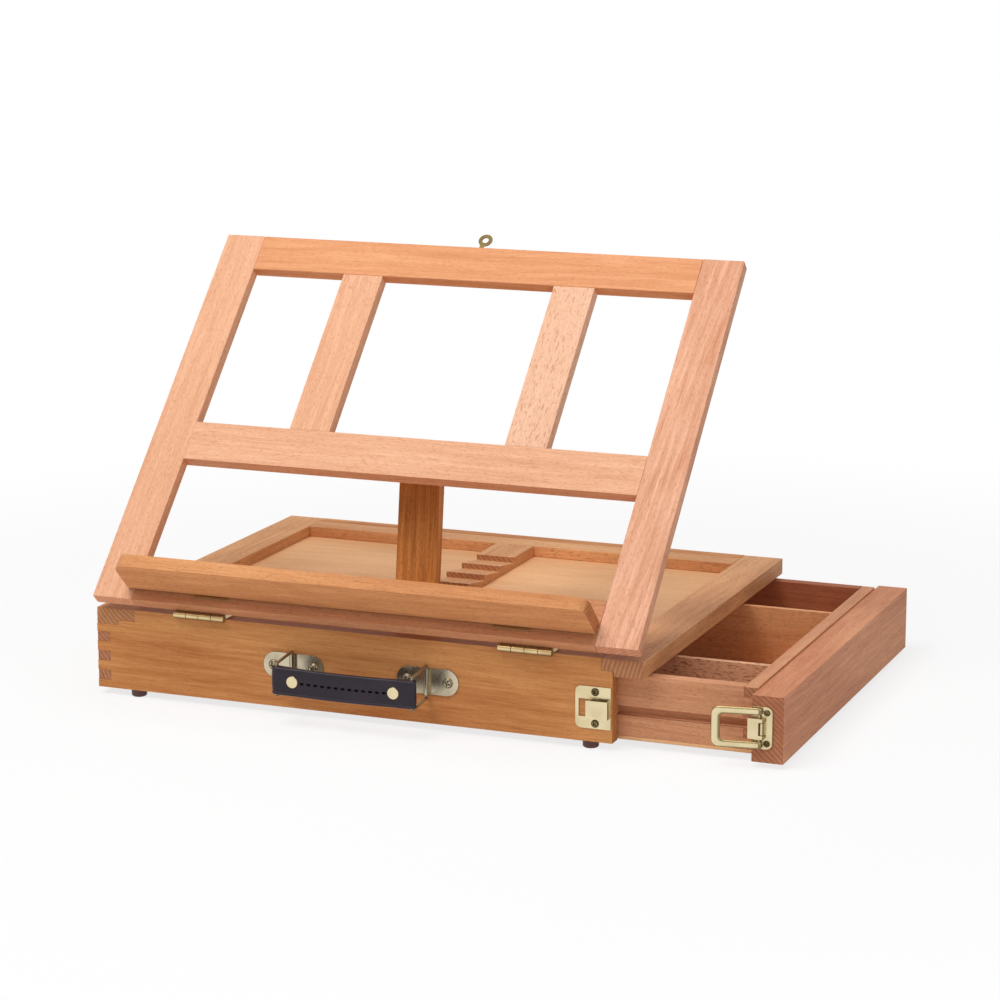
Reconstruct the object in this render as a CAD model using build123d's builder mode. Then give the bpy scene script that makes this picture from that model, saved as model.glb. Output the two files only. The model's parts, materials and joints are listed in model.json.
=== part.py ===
"""Wooden box easel: a drawer case whose top carries a tilting frame with a folding ledge.

Millimetres. X runs along the front, Y from the front to the back, Z up. The origin lies on
the table under the middle of the easel as it stands, with the frame up and the drawer open.
"""

from build123d import *
from math import atan2, cos, radians, sin
import os

os.makedirs("parts", exist_ok=True)

# Case
case_length = 400.0
case_depth = 312.0
case_height = 57.0
wall_thickness = 10.0
finger_height = 6.9
first_finger = 5.4
finger_count = 3
drawer_finger_count = 3
rail_width = 29.5
rail_height = 11.6
left_lip = 17.0
right_lip = 21.0
panel_thickness = 3.4
panel_seat = 8.0
foot_height = 5.0
foot_diameter = 10.8
foot_round = 1.6
left_foot_inset = 29.0
right_foot_inset = 38.0

# Notched rack under the strut
rack_width = 30.0
notch_pitch = 29.1
notch_depth = 4.1
notch_count = 6
last_notch = 242.0

# Drawer
drawer_open = 94.0
face_thickness = 21.0
face_height = 44.2
face_drop = 1.2
closed_gap = 0.5
drawer_side_gap = 1.5
drawer_end_gap = 2.0
drawer_board = 9.0
drawer_top_gap = 0.8
drawer_bottom_lift = 0.3
drawer_bottom_thickness = 2.5
runner_height = 4.8
runner_centre = 20.2
runner_reach = 5.0
runner_gap = 0.4
divider_thickness = 4.5
divider_drop = 0.8
front_compartment = 47.2
back_compartment = 70.0

# Tilting frame, a little narrower than the case
frame_inset = 1.5
frame_length = 312.0
frame_thickness = 8.8
stile_width = 30.0
top_rail_width = 29.6
mid_rail_start = 116.1
mid_rail_width = 31.2
bottom_rail_width = 34.0
muntin_width = 30.5
muntin_inset = 103.9
tenon_length = 12.0
tenon_thickness = 3.2
tenon_shoulder = 3.0
tenon_gap = 0.1
frame_tilt = 45.7

# Butt hinges between case and frame
hinge_length = 38.0
hinge_leaf = 1.0
hinge_leaf_depth = 13.0
hinge_knuckle_radius = 2.5
hinge_pin_radius = 1.0
hinge_pin_reach = 3.0
hinge_inset = 62.0
hinge_screw_count = 3
hinge_screw_place = 0.6
knuckle_count = 4
knuckle_gap = 0.3

# Ledge
ledge_length = 341.0
ledge_shift = 3.0
ledge_thickness = 9.8
ledge_depth = 29.5
ledge_start = 8.0
ledge_gap = 0.3
ledge_corner = 8.0
ledge_hinge_length = 26.0
ledge_hinge_inset = 77.4
ledge_hinge_drop = 2.2
ledge_leaf = 0.8
ledge_leaf_depth = 9.0
ledge_knuckle_radius = 1.3
ledge_pin_radius = 0.6
ledge_pin_rise = 0.6

# Strut
strut_width = 30.0
strut_foot_flat = 4.0
strut_foot_bevel = 14.0
strut_seat_gap = 0.3
strut_hinge_length = 25.0
strut_leaf = 0.8
strut_leaf_depth = 16.0
strut_hinge_offset = 1.0
strut_hinge_rise = 2.2
strut_knuckle_radius = 2.0
strut_pin_radius = 0.8
strut_screw_count = 2
strut_screw_place = 0.65

# Hasp on the frame's top edge and the stud it closes over
hasp_centre = 199.0
hasp_from_back = 1.6
hasp_base_width = 8.4
hasp_base_depth = 6.0
hasp_overhang = 0.4
hasp_lug = 1.6
hasp_sheet = 0.8
hasp_eye_radius = 5.2
hasp_hole_radius = 2.4
hasp_eye_shift = 1.4
hasp_stem_width = 3.2
hasp_stem_length = 2.7
hasp_knuckle_radius = 1.1
hasp_pin_radius = 0.5
stud_plate_radius = 3.8
stud_plate = 1.0
stud_length = 4.0
stud_radius = 1.2
stud_depth = 5.0
stud_head_radius = 1.6
stud_head = 1.0

# Latch
latch_height = 22.0
latch_plate = 1.0
latch_corner = 4.0
latch_screw_spread = 10.2
latch_screw_edge = 1.9
latch_base_start = 0.5
latch_base_length = 13.5
latch_base_height = 28.0
latch_pin_out = 3.0
latch_pin_radius = 0.7
latch_knuckle_radius = 1.7
latch_pin_inset = 7.6
lever_height = 13.4
lever_reach = 9.2
lever_sheet = 1.0
lever_outer_knuckle = 2.4
loop_offset = 1.8
loop_tail = 1.3
loop_pin_radius = 0.6
loop_pin_depth = 1.6
loop_reach = 25.2
loop_bar = 6.0
loop_arm = 4.8
loop_height = 27.2
loop_thickness = 1.6
loop_corner = 5.0
loop_inner_corner = 2.5
loop_lift = 9.0
strike_length = 24.5
strike_height = 28.4
strike_edge = 0.8
strike_lift = 1.4
strike_screw_shift = 1.5
strike_screw_spread = 10.7
strike_catch_gap = 0.3
strike_lever_gap = 0.5
strike_tab_height = 12.0
strike_tab_lift = 1.0
strike_tab_out = 5.7
strike_hook = 1.6
strike_slot_length = 8.0

# Handle
handle_height = 29.4
handle_plate_length = 44.5
handle_plate_height = 18.2
handle_plate_sheet = 1.0
left_plate_start = 128.0
right_plate_start = 226.3
handle_pivot_inset = 22.3
handle_screw_inset = 7.5
barrel_radius = 2.1
barrel_out = 2.2
ring_wire_radius = 1.0
ring_reach = 25.0
ring_height = 22.2
ring_drop = 2.3
ring_corner = 1.2
strap_height = 19.0
strap_thickness = 4.0
strap_end_radius = 3.2
rivet_radius = 4.2
rivet_inset = 12.5
rivet_head = 0.9
rivet_round = 0.5

# Shared fits and small fasteners
turning_gap = 0.05
loose_gap = 0.5
screw_head_radius = 1.9
screw_head = 0.7
screw_shank_radius = 0.9
screw_length = 7.0
pilot_spare = 1.0
pilot_gap = 0.05
slot_width = 0.4
slot_depth = 0.35
sunk_taper = 35.0
head_taper = 35.0

# Where the case stands
left = -(case_length + drawer_open) / 2
strap_reach = barrel_out + ring_reach + max(strap_end_radius, strap_thickness / 2 + rivet_head)
hasp_reach = hasp_knuckle_radius + knuckle_gap + hasp_stem_length + hasp_eye_radius
stud_drop = hasp_reach - hasp_from_back - 2 * hinge_leaf
front = -(case_depth + stud_length - strap_reach) / 2
bottom = foot_height
top = bottom + case_height
lip_bottom = case_height - rail_height
panel_top = lip_bottom + panel_thickness
wall_length = case_length - face_thickness - closed_gap
back_wall_front = case_depth - wall_thickness
inner_back = case_depth - rail_width
right_rail_start = case_length - rail_width

# Drawing planes: local x and y are named in each comment
floor_plane = Plane(origin=(left, front, 0))                                              # X, Y
case_plane = Plane(origin=(left, front, bottom))                                          # X, Y
top_plane = Plane(origin=(left, front, top))                                              # X, Y
front_plane = Plane(origin=(left, front, bottom), x_dir=(1, 0, 0), z_dir=(0, -1, 0))      # X, Z
side_plane = Plane(origin=(left, front, bottom), x_dir=(0, 1, 0), z_dir=(1, 0, 0))        # Y, Z
back_plane = Plane(origin=(left, front + case_depth, bottom), x_dir=(1, 0, 0), z_dir=(0, -1, 0))

# The frame's plane starts at its lower back edge; local y runs up the frame, z out of its face
tilt = radians(frame_tilt)
along = Vector(0, cos(tilt), sin(tilt))
outward = Vector(0, -sin(tilt), cos(tilt))
hinge_axis = Vector(left, front - hinge_pin_reach, top + hinge_leaf)
frame_corner = hinge_axis + along * hinge_pin_reach + outward * hinge_leaf
easel_plane = Plane(origin=frame_corner, x_dir=(1, 0, 0), z_dir=outward)

# The same plane seen from behind, so that its normal points away from the wood; local x is -X
easel_back_plane = Plane(origin=frame_corner, x_dir=(-1, 0, 0), z_dir=outward * -1)


def board(plane, x, y, width, height, thickness, mode=Mode.ADD):
    """A rectangle with its low corner at x, y on the plane, raised by thickness."""
    with BuildSketch(plane) as outline:
        with Locations((x, y)):
            Rectangle(width, height, align=(Align.MIN, Align.MIN))
    extrude(outline.sketch, amount=thickness, mode=mode)


def rod(plane, points, radius, length, mode=Mode.ADD):
    """Round bars or holes at the points, running along the plane's normal."""
    with BuildSketch(plane) as outline:
        with Locations(*points):
            Circle(radius)
    extrude(outline.sketch, amount=length, mode=mode)


def prism(plane, points, length, mode=Mode.ADD):
    """A straight-sided outline through the points, raised by length."""
    with BuildSketch(plane) as outline:
        with BuildLine():
            Polyline(*points, close=True)
        make_face()
    extrude(outline.sketch, amount=length, mode=mode)


def pilot_holes(plane, points):
    """Holes for screws, drilled below the plane."""
    rod(plane, points, screw_shank_radius + pilot_gap, -screw_length - pilot_spare, Mode.SUBTRACT)


def screws(plane, points, sheet):
    """Round-head screws through a sheet that lies on the plane."""
    for point in points:
        spot = plane.offset(sheet)
        rod(spot, [point], screw_shank_radius, -screw_length)
        with BuildSketch(spot) as head:
            with Locations(point):
                Circle(screw_head_radius)
        extrude(head.sketch, amount=screw_head, taper=head_taper)
        board(spot.offset(screw_head), point[0] - screw_head_radius, point[1] - slot_width / 2,
              2 * screw_head_radius, slot_width, -slot_depth, Mode.SUBTRACT)


def finish(piece, label):
    """Name a finished piece and write it out."""
    piece.part.label = label
    export_step(piece.part, f"parts/{label}.step")


def spaced(start, length, count):
    """Points at even steps along a leaf, half a step from its ends."""
    return [start + length * (i + 0.5) / count for i in range(count)]


# Screw places shared by the wood and the metal
hinge_starts = [hinge_inset, case_length - hinge_inset - hinge_length]
hinge_screw_depth = hinge_leaf_depth * hinge_screw_place
case_hinge_screws = [
    (x, hinge_screw_depth)
    for start in hinge_starts
    for x in spaced(start, hinge_length, hinge_screw_count)
]
frame_hinge_screws = [(-x, hinge_screw_depth) for x, depth in case_hinge_screws]
plate_starts = [left_plate_start, right_plate_start]
handle_screws = [
    (start + inset, handle_height)
    for start in plate_starts
    for inset in (handle_screw_inset, handle_plate_length - handle_screw_inset)
]
latch_pin_x = wall_length + closed_gap + latch_pin_inset
latch_base_x = wall_length + closed_gap + latch_base_start
latch_screw_x = latch_base_x + latch_base_length - screw_head_radius - latch_screw_edge
latch_screws = [
    (latch_screw_x + drawer_open, latch_height + side * latch_screw_spread) for side in (-1, 1)
]
catch_x = latch_pin_x + loop_offset - loop_reach + strike_catch_gap
strike_start = wall_length - strike_edge - strike_length
strike_screw_x = strike_start + strike_length / 2 + strike_screw_shift
strike_middle = latch_height + strike_lift
strike_screws = [(strike_screw_x, strike_middle + side * strike_screw_spread) for side in (-1, 1)]

# Fingers of the left wall that show in the front and back walls
finger_starts = [first_finger + 2 * finger_height * i for i in range(finger_count)]


# Front and back walls

def long_wall(plane):
    """A long wall with notched top corners and pockets for the left wall's fingers."""
    outline = [
        (0, 0),
        (wall_length, 0),
        (wall_length, panel_top),
        (right_rail_start, panel_top),
        (right_rail_start, case_height),
        (rail_width, case_height),
        (rail_width, panel_top),
        (left_lip, panel_top),
        (left_lip, lip_bottom),
        (0, lip_bottom),
    ]
    prism(plane, outline, -wall_thickness)
    for start in finger_starts:
        board(plane, 0, start, wall_thickness, finger_height, -wall_thickness, Mode.SUBTRACT)


with BuildPart() as front_wall:
    long_wall(front_plane)
    pilot_holes(front_plane, handle_screws + strike_screws)
    pilot_holes(top_plane, case_hinge_screws)
finish(front_wall, "front_wall")

with BuildPart() as back_wall:
    long_wall(back_plane.offset(wall_thickness))
    rod(back_plane, [(hasp_centre + hasp_eye_shift, case_height - stud_drop)], stud_radius + pilot_gap,
        stud_depth, Mode.SUBTRACT)
finish(back_wall, "back_wall")

with BuildPart() as left_wall:
    board(case_plane, 0, wall_thickness, wall_thickness, case_depth - 2 * wall_thickness, lip_bottom)
    for start in finger_starts:
        board(side_plane, 0, start, case_depth, finger_height, wall_thickness)
finish(left_wall, "left_wall")


# Top of the case

def side_rail(lip_width, outer_x, inner_x, lip_x):
    """A side rail with a rabbet under its inner edge for the panel."""
    board(case_plane.offset(panel_top), min(outer_x, inner_x), 0, rail_width, case_depth,
          case_height - panel_top)
    board(case_plane.offset(lip_bottom), lip_x, 0, lip_width, case_depth, panel_thickness)


with BuildPart() as top_left_rail:
    side_rail(left_lip, 0, rail_width, 0)
finish(top_left_rail, "top_left_rail")

with BuildPart() as top_right_rail:
    side_rail(right_lip, right_rail_start, case_length, case_length - right_lip)
finish(top_right_rail, "top_right_rail")

end_rail_length = right_rail_start - rail_width
end_rail_width = rail_width - wall_thickness

with BuildPart() as top_front_rail:
    board(case_plane.offset(lip_bottom), rail_width, wall_thickness, end_rail_length, end_rail_width,
          rail_height)
    board(case_plane.offset(lip_bottom), rail_width, rail_width - panel_seat, end_rail_length,
          panel_seat, panel_thickness, Mode.SUBTRACT)
finish(top_front_rail, "top_front_rail")

with BuildPart() as top_back_rail:
    board(case_plane.offset(lip_bottom), rail_width, inner_back, end_rail_length, end_rail_width,
          rail_height)
    board(case_plane.offset(lip_bottom), rail_width, inner_back, end_rail_length, panel_seat,
          panel_thickness, Mode.SUBTRACT)
finish(top_back_rail, "top_back_rail")

with BuildPart() as top_panel:
    board(case_plane.offset(lip_bottom), left_lip, wall_thickness, case_length - left_lip - right_lip,
          case_depth - 2 * wall_thickness, panel_thickness)
    board(case_plane.offset(lip_bottom), rail_width, wall_thickness, end_rail_length,
          end_rail_width - panel_seat, panel_thickness, Mode.SUBTRACT)
    board(case_plane.offset(lip_bottom), rail_width, inner_back + panel_seat, end_rail_length,
          end_rail_width - panel_seat, panel_thickness, Mode.SUBTRACT)
finish(top_panel, "top_panel")

# The rack: sawtooth notches, each with an upright face to the front and a ramp rising forward
notches = [last_notch - notch_pitch * i for i in range(notch_count)]
rack_left = (case_length - rack_width) / 2
rack_profile = [(rail_width, panel_top), (inner_back, panel_top), (inner_back, case_height)]
for tip in notches:
    rack_profile += [(tip, case_height), (tip, case_height - notch_depth)]
rack_profile += [(notches[-1] - notch_pitch, case_height), (rail_width, case_height)]

with BuildPart() as notched_rack:
    prism(side_plane.offset(rack_left), rack_profile, rack_width)
finish(notched_rack, "notched_rack")

with BuildPart() as drawer_runners:
    for start in (wall_thickness, back_wall_front - runner_reach):
        board(case_plane.offset(runner_centre - runner_height / 2), wall_thickness, start,
              wall_length - wall_thickness, runner_reach, runner_height)
finish(drawer_runners, "drawer_runners")

foot_spots = [
    (x, y)
    for x in (left_foot_inset, case_length - right_foot_inset)
    for y in (wall_thickness / 2, case_depth - wall_thickness / 2)
]

with BuildPart() as feet:
    rod(floor_plane, foot_spots, foot_diameter / 2, foot_height)
    fillet(feet.edges().group_by(Axis.Z)[0], foot_round)
finish(feet, "feet")

# Drawer, drawn where it stands when open
box_start = wall_thickness + drawer_end_gap + drawer_open
box_end = wall_length + closed_gap + drawer_open
box_front = wall_thickness + drawer_side_gap
box_back = case_depth - box_front
box_floor = drawer_bottom_lift + drawer_bottom_thickness
box_top = lip_bottom - drawer_top_gap
side_height = box_top - box_floor
inside_start = box_start + drawer_board
inside_end = box_end - drawer_board
groove_depth = runner_reach - drawer_side_gap + runner_gap
groove_height = runner_height + 2 * runner_gap
drawer_finger_starts = [box_top - finger_height * (2 * i + 1) for i in range(drawer_finger_count)]
drawer_fingers = [start for start in drawer_finger_starts if start > box_floor]

with BuildPart() as drawer_face:
    board(front_plane, box_end, -face_drop, face_thickness, face_height, -case_depth)
    pilot_holes(front_plane, latch_screws)
finish(drawer_face, "drawer_face")


def drawer_side(outer_y, inner_y, groove_y):
    """A long drawer side with its runner groove and pockets for the end boards' fingers."""
    board(case_plane.offset(box_floor), box_start, min(outer_y, inner_y), box_end - box_start,
          drawer_board, side_height)
    board(case_plane.offset(runner_centre - groove_height / 2), box_start, groove_y,
          box_end - box_start, groove_depth, groove_height, Mode.SUBTRACT)
    for start in drawer_fingers:
        for x in (box_start, inside_end):
            board(case_plane.offset(start), x, min(outer_y, inner_y), drawer_board, drawer_board,
                  finger_height, Mode.SUBTRACT)


with BuildPart() as drawer_front_side:
    drawer_side(box_front, box_front + drawer_board, box_front)
finish(drawer_front_side, "drawer_front_side")

with BuildPart() as drawer_back_side:
    drawer_side(box_back, box_back - drawer_board, box_back - groove_depth)
finish(drawer_back_side, "drawer_back_side")


def drawer_end(x):
    """A drawer end board whose fingers run through both sides."""
    board(case_plane.offset(box_floor), x, box_front + drawer_board, drawer_board,
          box_back - box_front - 2 * drawer_board, side_height)
    for start in drawer_fingers:
        board(case_plane.offset(start), x, box_front, drawer_board, box_back - box_front,
              finger_height)
    for groove_y in (box_front, box_back - groove_depth):
        board(case_plane.offset(runner_centre - groove_height / 2), x, groove_y, drawer_board,
              groove_depth, groove_height, Mode.SUBTRACT)


with BuildPart() as drawer_left_end:
    drawer_end(box_start)
finish(drawer_left_end, "drawer_left_end")

with BuildPart() as drawer_right_end:
    drawer_end(inside_end)
finish(drawer_right_end, "drawer_right_end")

with BuildPart() as drawer_bottom:
    board(case_plane.offset(drawer_bottom_lift), box_start, box_front, box_end - box_start,
          box_back - box_front, drawer_bottom_thickness)
finish(drawer_bottom, "drawer_bottom")

inside_front = box_front + drawer_board
inside_back = box_back - drawer_board
divider_starts = {
    "drawer_front_divider": inside_front + front_compartment,
    "drawer_back_divider": inside_back - back_compartment - divider_thickness,
}
for label, start in divider_starts.items():
    with BuildPart() as divider:
        board(case_plane.offset(box_floor), inside_start, start, inside_end - inside_start,
              divider_thickness, side_height - divider_drop)
    finish(divider, label)

# Tilting frame
rail_start = frame_inset + stile_width
rail_length = case_length - 2 * rail_start
top_rail_start = frame_length - top_rail_width
mid_rail_end = mid_rail_start + mid_rail_width
cross_rails = {
    "easel_bottom_rail": (0, bottom_rail_width),
    "easel_mid_rail": (mid_rail_start, mid_rail_width),
    "easel_top_rail": (top_rail_start, top_rail_width),
}
tenon_plane = easel_plane.offset((frame_thickness - tenon_thickness) / 2)
mortise_plane = easel_plane.offset((frame_thickness - tenon_thickness) / 2 - tenon_gap)
mortise_thickness = tenon_thickness + 2 * tenon_gap
muntin_starts = [muntin_inset, case_length - muntin_inset - muntin_width]
muntin_length = top_rail_start - mid_rail_end


def mortise(x, y, width, height):
    """A pocket one gap larger all round than the tenon that goes into it."""
    board(mortise_plane, x - tenon_gap, y - tenon_gap, width + 2 * tenon_gap, height + 2 * tenon_gap,
          mortise_thickness, Mode.SUBTRACT)


def stile(x, mortise_x):
    """An upright of the frame, with a mortise for each rail."""
    board(easel_plane, x, 0, stile_width, frame_length, frame_thickness)
    for start, width in cross_rails.values():
        mortise(mortise_x, start + tenon_shoulder, tenon_length, width - 2 * tenon_shoulder)


with BuildPart() as easel_stile_left:
    stile(frame_inset, rail_start - tenon_length)
finish(easel_stile_left, "easel_stile_left")

with BuildPart() as easel_stile_right:
    stile(case_length - rail_start, case_length - rail_start)
finish(easel_stile_right, "easel_stile_right")

# Where the strut hinges on the frame's back
strut_axis_up = mid_rail_end + strut_hinge_rise
strut_hinge_start = (case_length - strut_hinge_length) / 2
strut_screw_spots = spaced(strut_hinge_start, strut_hinge_length, strut_screw_count)
strut_screw_depth = strut_leaf_depth * strut_screw_place
strut_screws = [(-x, strut_axis_up - strut_screw_depth) for x in strut_screw_spots]

for label, (start, width) in cross_rails.items():
    with BuildPart() as rail:
        board(easel_plane, rail_start, start, rail_length, width, frame_thickness)
        board(tenon_plane, rail_start - tenon_length, start + tenon_shoulder,
              rail_length + 2 * tenon_length, width - 2 * tenon_shoulder, tenon_thickness)
        if label == "easel_mid_rail":
            for x in muntin_starts:
                mortise(x + tenon_shoulder, mid_rail_end - tenon_length,
                        muntin_width - 2 * tenon_shoulder, tenon_length)
            pilot_holes(easel_back_plane, strut_screws)
        if label == "easel_top_rail":
            for x in muntin_starts:
                mortise(x + tenon_shoulder, top_rail_start, muntin_width - 2 * tenon_shoulder,
                        tenon_length)
        if label == "easel_bottom_rail":
            pilot_holes(easel_back_plane, frame_hinge_screws)
    finish(rail, label)

for label, x in zip(("easel_muntin_left", "easel_muntin_right"), muntin_starts):
    with BuildPart() as muntin:
        board(easel_plane, x, mid_rail_end, muntin_width, muntin_length, frame_thickness)
        board(tenon_plane, x + tenon_shoulder, mid_rail_end - tenon_length,
              muntin_width - 2 * tenon_shoulder, muntin_length + 2 * tenon_length, tenon_thickness)
    finish(muntin, label)

# Hinges


def hinge_half(plane, starts, length, depth, low, sheet, radius, pin_radius, own):
    """One leaf of each butt hinge: the plane's origin is on the pin, its x along the leaf."""
    segment = length / knuckle_count
    for start in starts:
        board(plane.offset(start), radius + knuckle_gap, low, depth - radius - knuckle_gap, sheet, length)
        for i in range(own, knuckle_count, 2):
            place = plane.offset(start + segment * i + knuckle_gap / 2)
            rod(place, [(0, 0)], radius, segment - knuckle_gap)
            board(place, 0, low, radius + 2 * knuckle_gap, sheet, segment - knuckle_gap)
        rod(plane.offset(start), [(0, 0)], pin_radius + turning_gap, length, Mode.SUBTRACT)


def sunk_holes(plane, points, sheet):
    """Countersunk holes through a sheet that lies on the plane."""
    with BuildSketch(plane.offset(sheet)) as outline:
        with Locations(*points):
            Circle(screw_head_radius + pilot_gap)
    extrude(outline.sketch, amount=-sheet, taper=sunk_taper, mode=Mode.SUBTRACT)


def sunk_screws(plane, points, sheet):
    """Countersunk screws, flush with a sheet that lies on the plane."""
    rod(plane, points, screw_shank_radius, -screw_length)
    for point in points:
        with BuildSketch(plane.offset(sheet)) as outline:
            with Locations(point):
                Circle(screw_head_radius)
        extrude(outline.sketch, amount=-sheet, taper=sunk_taper)
        board(plane.offset(sheet), point[0] - screw_head_radius, point[1] - slot_width / 2,
              2 * screw_head_radius, slot_width, -slot_depth, Mode.SUBTRACT)


case_hinge_plane = Plane(origin=hinge_axis, x_dir=(0, 1, 0), z_dir=(1, 0, 0))
frame_hinge_plane = Plane(origin=hinge_axis, x_dir=along, z_dir=(1, 0, 0))
hinge_depth = hinge_pin_reach + hinge_leaf_depth

with BuildPart() as case_hinge_leaves:
    hinge_half(case_hinge_plane, hinge_starts, hinge_length, hinge_depth, -hinge_leaf, hinge_leaf,
               hinge_knuckle_radius, hinge_pin_radius, 0)
    sunk_holes(top_plane, case_hinge_screws, hinge_leaf)
finish(case_hinge_leaves, "case_hinge_leaves")

with BuildPart() as frame_hinge_leaves:
    hinge_half(frame_hinge_plane, hinge_starts, hinge_length, hinge_depth, 0, hinge_leaf,
               hinge_knuckle_radius, hinge_pin_radius, 1)
    sunk_holes(easel_back_plane, frame_hinge_screws, hinge_leaf)
finish(frame_hinge_leaves, "frame_hinge_leaves")

with BuildPart() as hinge_pins:
    for start in hinge_starts:
        rod(case_hinge_plane.offset(start), [(0, 0)], hinge_pin_radius, hinge_length)
finish(hinge_pins, "hinge_pins")

with BuildPart() as case_hinge_screw_set:
    sunk_screws(top_plane, case_hinge_screws, hinge_leaf)
finish(case_hinge_screw_set, "case_hinge_screws")

with BuildPart() as frame_hinge_screw_set:
    sunk_screws(easel_back_plane, frame_hinge_screws, hinge_leaf)
finish(frame_hinge_screw_set, "frame_hinge_screws")

# Ledge, which stands out square to the frame and folds up against it
ledge_end = ledge_start + ledge_thickness
ledge_left = (case_length - ledge_length) / 2 - ledge_shift
ledge_back = frame_thickness + ledge_leaf + ledge_gap
ledge_axis_up = ledge_end + ledge_pin_rise
ledge_axis_out = frame_thickness + ledge_knuckle_radius + ledge_gap
ledge_hinge_starts = [ledge_hinge_inset, case_length - ledge_hinge_inset - ledge_hinge_length]
ledge_plane = Plane(origin=frame_corner + along * ledge_end, x_dir=(1, 0, 0), z_dir=along * -1)
ledge_axis = frame_corner + along * ledge_axis_up + outward * ledge_axis_out
ledge_hinge_plane = Plane(origin=ledge_axis, x_dir=along * -1, z_dir=(1, 0, 0))
ledge_leaf_low = ledge_axis_out - ledge_back - ledge_leaf

with BuildPart() as ledge:
    with BuildSketch(ledge_plane) as outline:
        with Locations((ledge_left, ledge_back)):
            Rectangle(ledge_length, ledge_depth, align=(Align.MIN, Align.MIN))
        fillet(outline.vertices().group_by(Axis.Y)[-1], ledge_corner)
    extrude(outline.sketch, amount=ledge_thickness)
    for start in ledge_hinge_starts:
        board(ledge_plane, start, ledge_back, ledge_hinge_length, ledge_leaf,
              ledge_leaf_depth - ledge_pin_rise, Mode.SUBTRACT)
        rod(ledge_hinge_plane.offset(start), [(0, 0)], ledge_knuckle_radius + ledge_gap,
            ledge_hinge_length, Mode.SUBTRACT)
finish(ledge, "ledge")

with BuildPart() as ledge_frame_leaves:
    hinge_half(ledge_hinge_plane, ledge_hinge_starts, ledge_hinge_length,
               ledge_axis_up - ledge_start + ledge_hinge_drop,
               ledge_axis_out - frame_thickness - ledge_leaf, ledge_leaf, ledge_knuckle_radius,
               ledge_pin_radius, 0)
finish(ledge_frame_leaves, "ledge_frame_leaves")

with BuildPart() as ledge_leaves:
    hinge_half(ledge_hinge_plane, ledge_hinge_starts, ledge_hinge_length, ledge_leaf_depth,
               ledge_leaf_low, ledge_leaf, ledge_knuckle_radius, ledge_pin_radius, 1)
finish(ledge_leaves, "ledge_leaves")

with BuildPart() as ledge_pins:
    for start in ledge_hinge_starts:
        rod(ledge_hinge_plane.offset(start), [(0, 0)], ledge_pin_radius, ledge_hinge_length)
finish(ledge_pins, "ledge_pins")

# Strut: it leans so that its bevelled foot just clears the front notch's upright face
strut_thickness = frame_thickness
strut_axis = frame_corner + along * strut_axis_up - outward * strut_hinge_offset
foot_engagement = notch_depth * (1 - strut_foot_flat / notch_pitch) - strut_seat_gap
foot_at_tip = strut_foot_flat + foot_engagement * (strut_thickness - strut_foot_flat) / strut_foot_bevel
tip_offset = strut_hinge_offset + foot_at_tip + strut_seat_gap
tip_back = front + notches[-1] - strut_axis.Y
tip_down = strut_axis.Z - top
strut_lean = atan2(-tip_back, tip_down)
strut_to_tip = (tip_back ** 2 + tip_down ** 2 - tip_offset ** 2) ** 0.5
strut_lean += atan2(tip_offset, strut_to_tip)
strut_down = Vector(0, -sin(strut_lean), -cos(strut_lean))
strut_plane = Plane(origin=strut_axis, x_dir=strut_down, z_dir=(1, 0, 0))
strut_left = (case_length - strut_width) / 2
strut_top = strut_knuckle_radius + knuckle_gap
strut_end = strut_to_tip + foot_engagement
strut_face = strut_hinge_offset
strut_profile = [
    (strut_top, strut_face),
    (strut_end, strut_face),
    (strut_end, strut_face + strut_foot_flat),
    (strut_end - strut_foot_bevel, strut_face + strut_thickness),
    (strut_top, strut_face + strut_thickness),
]
strut_front_plane = Plane(
    origin=strut_axis + Vector(0, cos(strut_lean), -sin(strut_lean)) * strut_face,
    x_dir=(1, 0, 0),
    z_dir=Vector(0, -cos(strut_lean), sin(strut_lean)),
)
strut_leaf_screws = [(x, -strut_screw_depth) for x in strut_screw_spots]

with BuildPart() as strut:
    prism(strut_plane.offset(strut_left), strut_profile, strut_width)
    pilot_holes(strut_front_plane, strut_leaf_screws)
finish(strut, "strut")

frame_strut_plane = Plane(origin=strut_axis, x_dir=along * -1, z_dir=(1, 0, 0))

with BuildPart() as strut_frame_leaf:
    hinge_half(frame_strut_plane, [strut_hinge_start], strut_hinge_length, strut_leaf_depth,
               -strut_hinge_offset, strut_leaf, strut_knuckle_radius, strut_pin_radius, 0)
    sunk_holes(easel_back_plane, strut_screws, strut_leaf)
finish(strut_frame_leaf, "strut_frame_leaf")

with BuildPart() as strut_hinge_leaf:
    hinge_half(strut_plane, [strut_hinge_start], strut_hinge_length, strut_leaf_depth,
               strut_hinge_offset - strut_leaf, strut_leaf, strut_knuckle_radius, strut_pin_radius, 1)
    sunk_holes(strut_front_plane, strut_leaf_screws, strut_leaf)
finish(strut_hinge_leaf, "strut_hinge_leaf")

with BuildPart() as strut_pin:
    rod(strut_plane.offset(strut_hinge_start), [(0, 0)], strut_pin_radius, strut_hinge_length)
finish(strut_pin, "strut_pin")

with BuildPart() as strut_frame_screws:
    sunk_screws(easel_back_plane, strut_screws, strut_leaf)
finish(strut_frame_screws, "strut_frame_screws")

with BuildPart() as strut_screw_set:
    sunk_screws(strut_front_plane, strut_leaf_screws, strut_leaf)
finish(strut_screw_set, "strut_screws")

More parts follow.
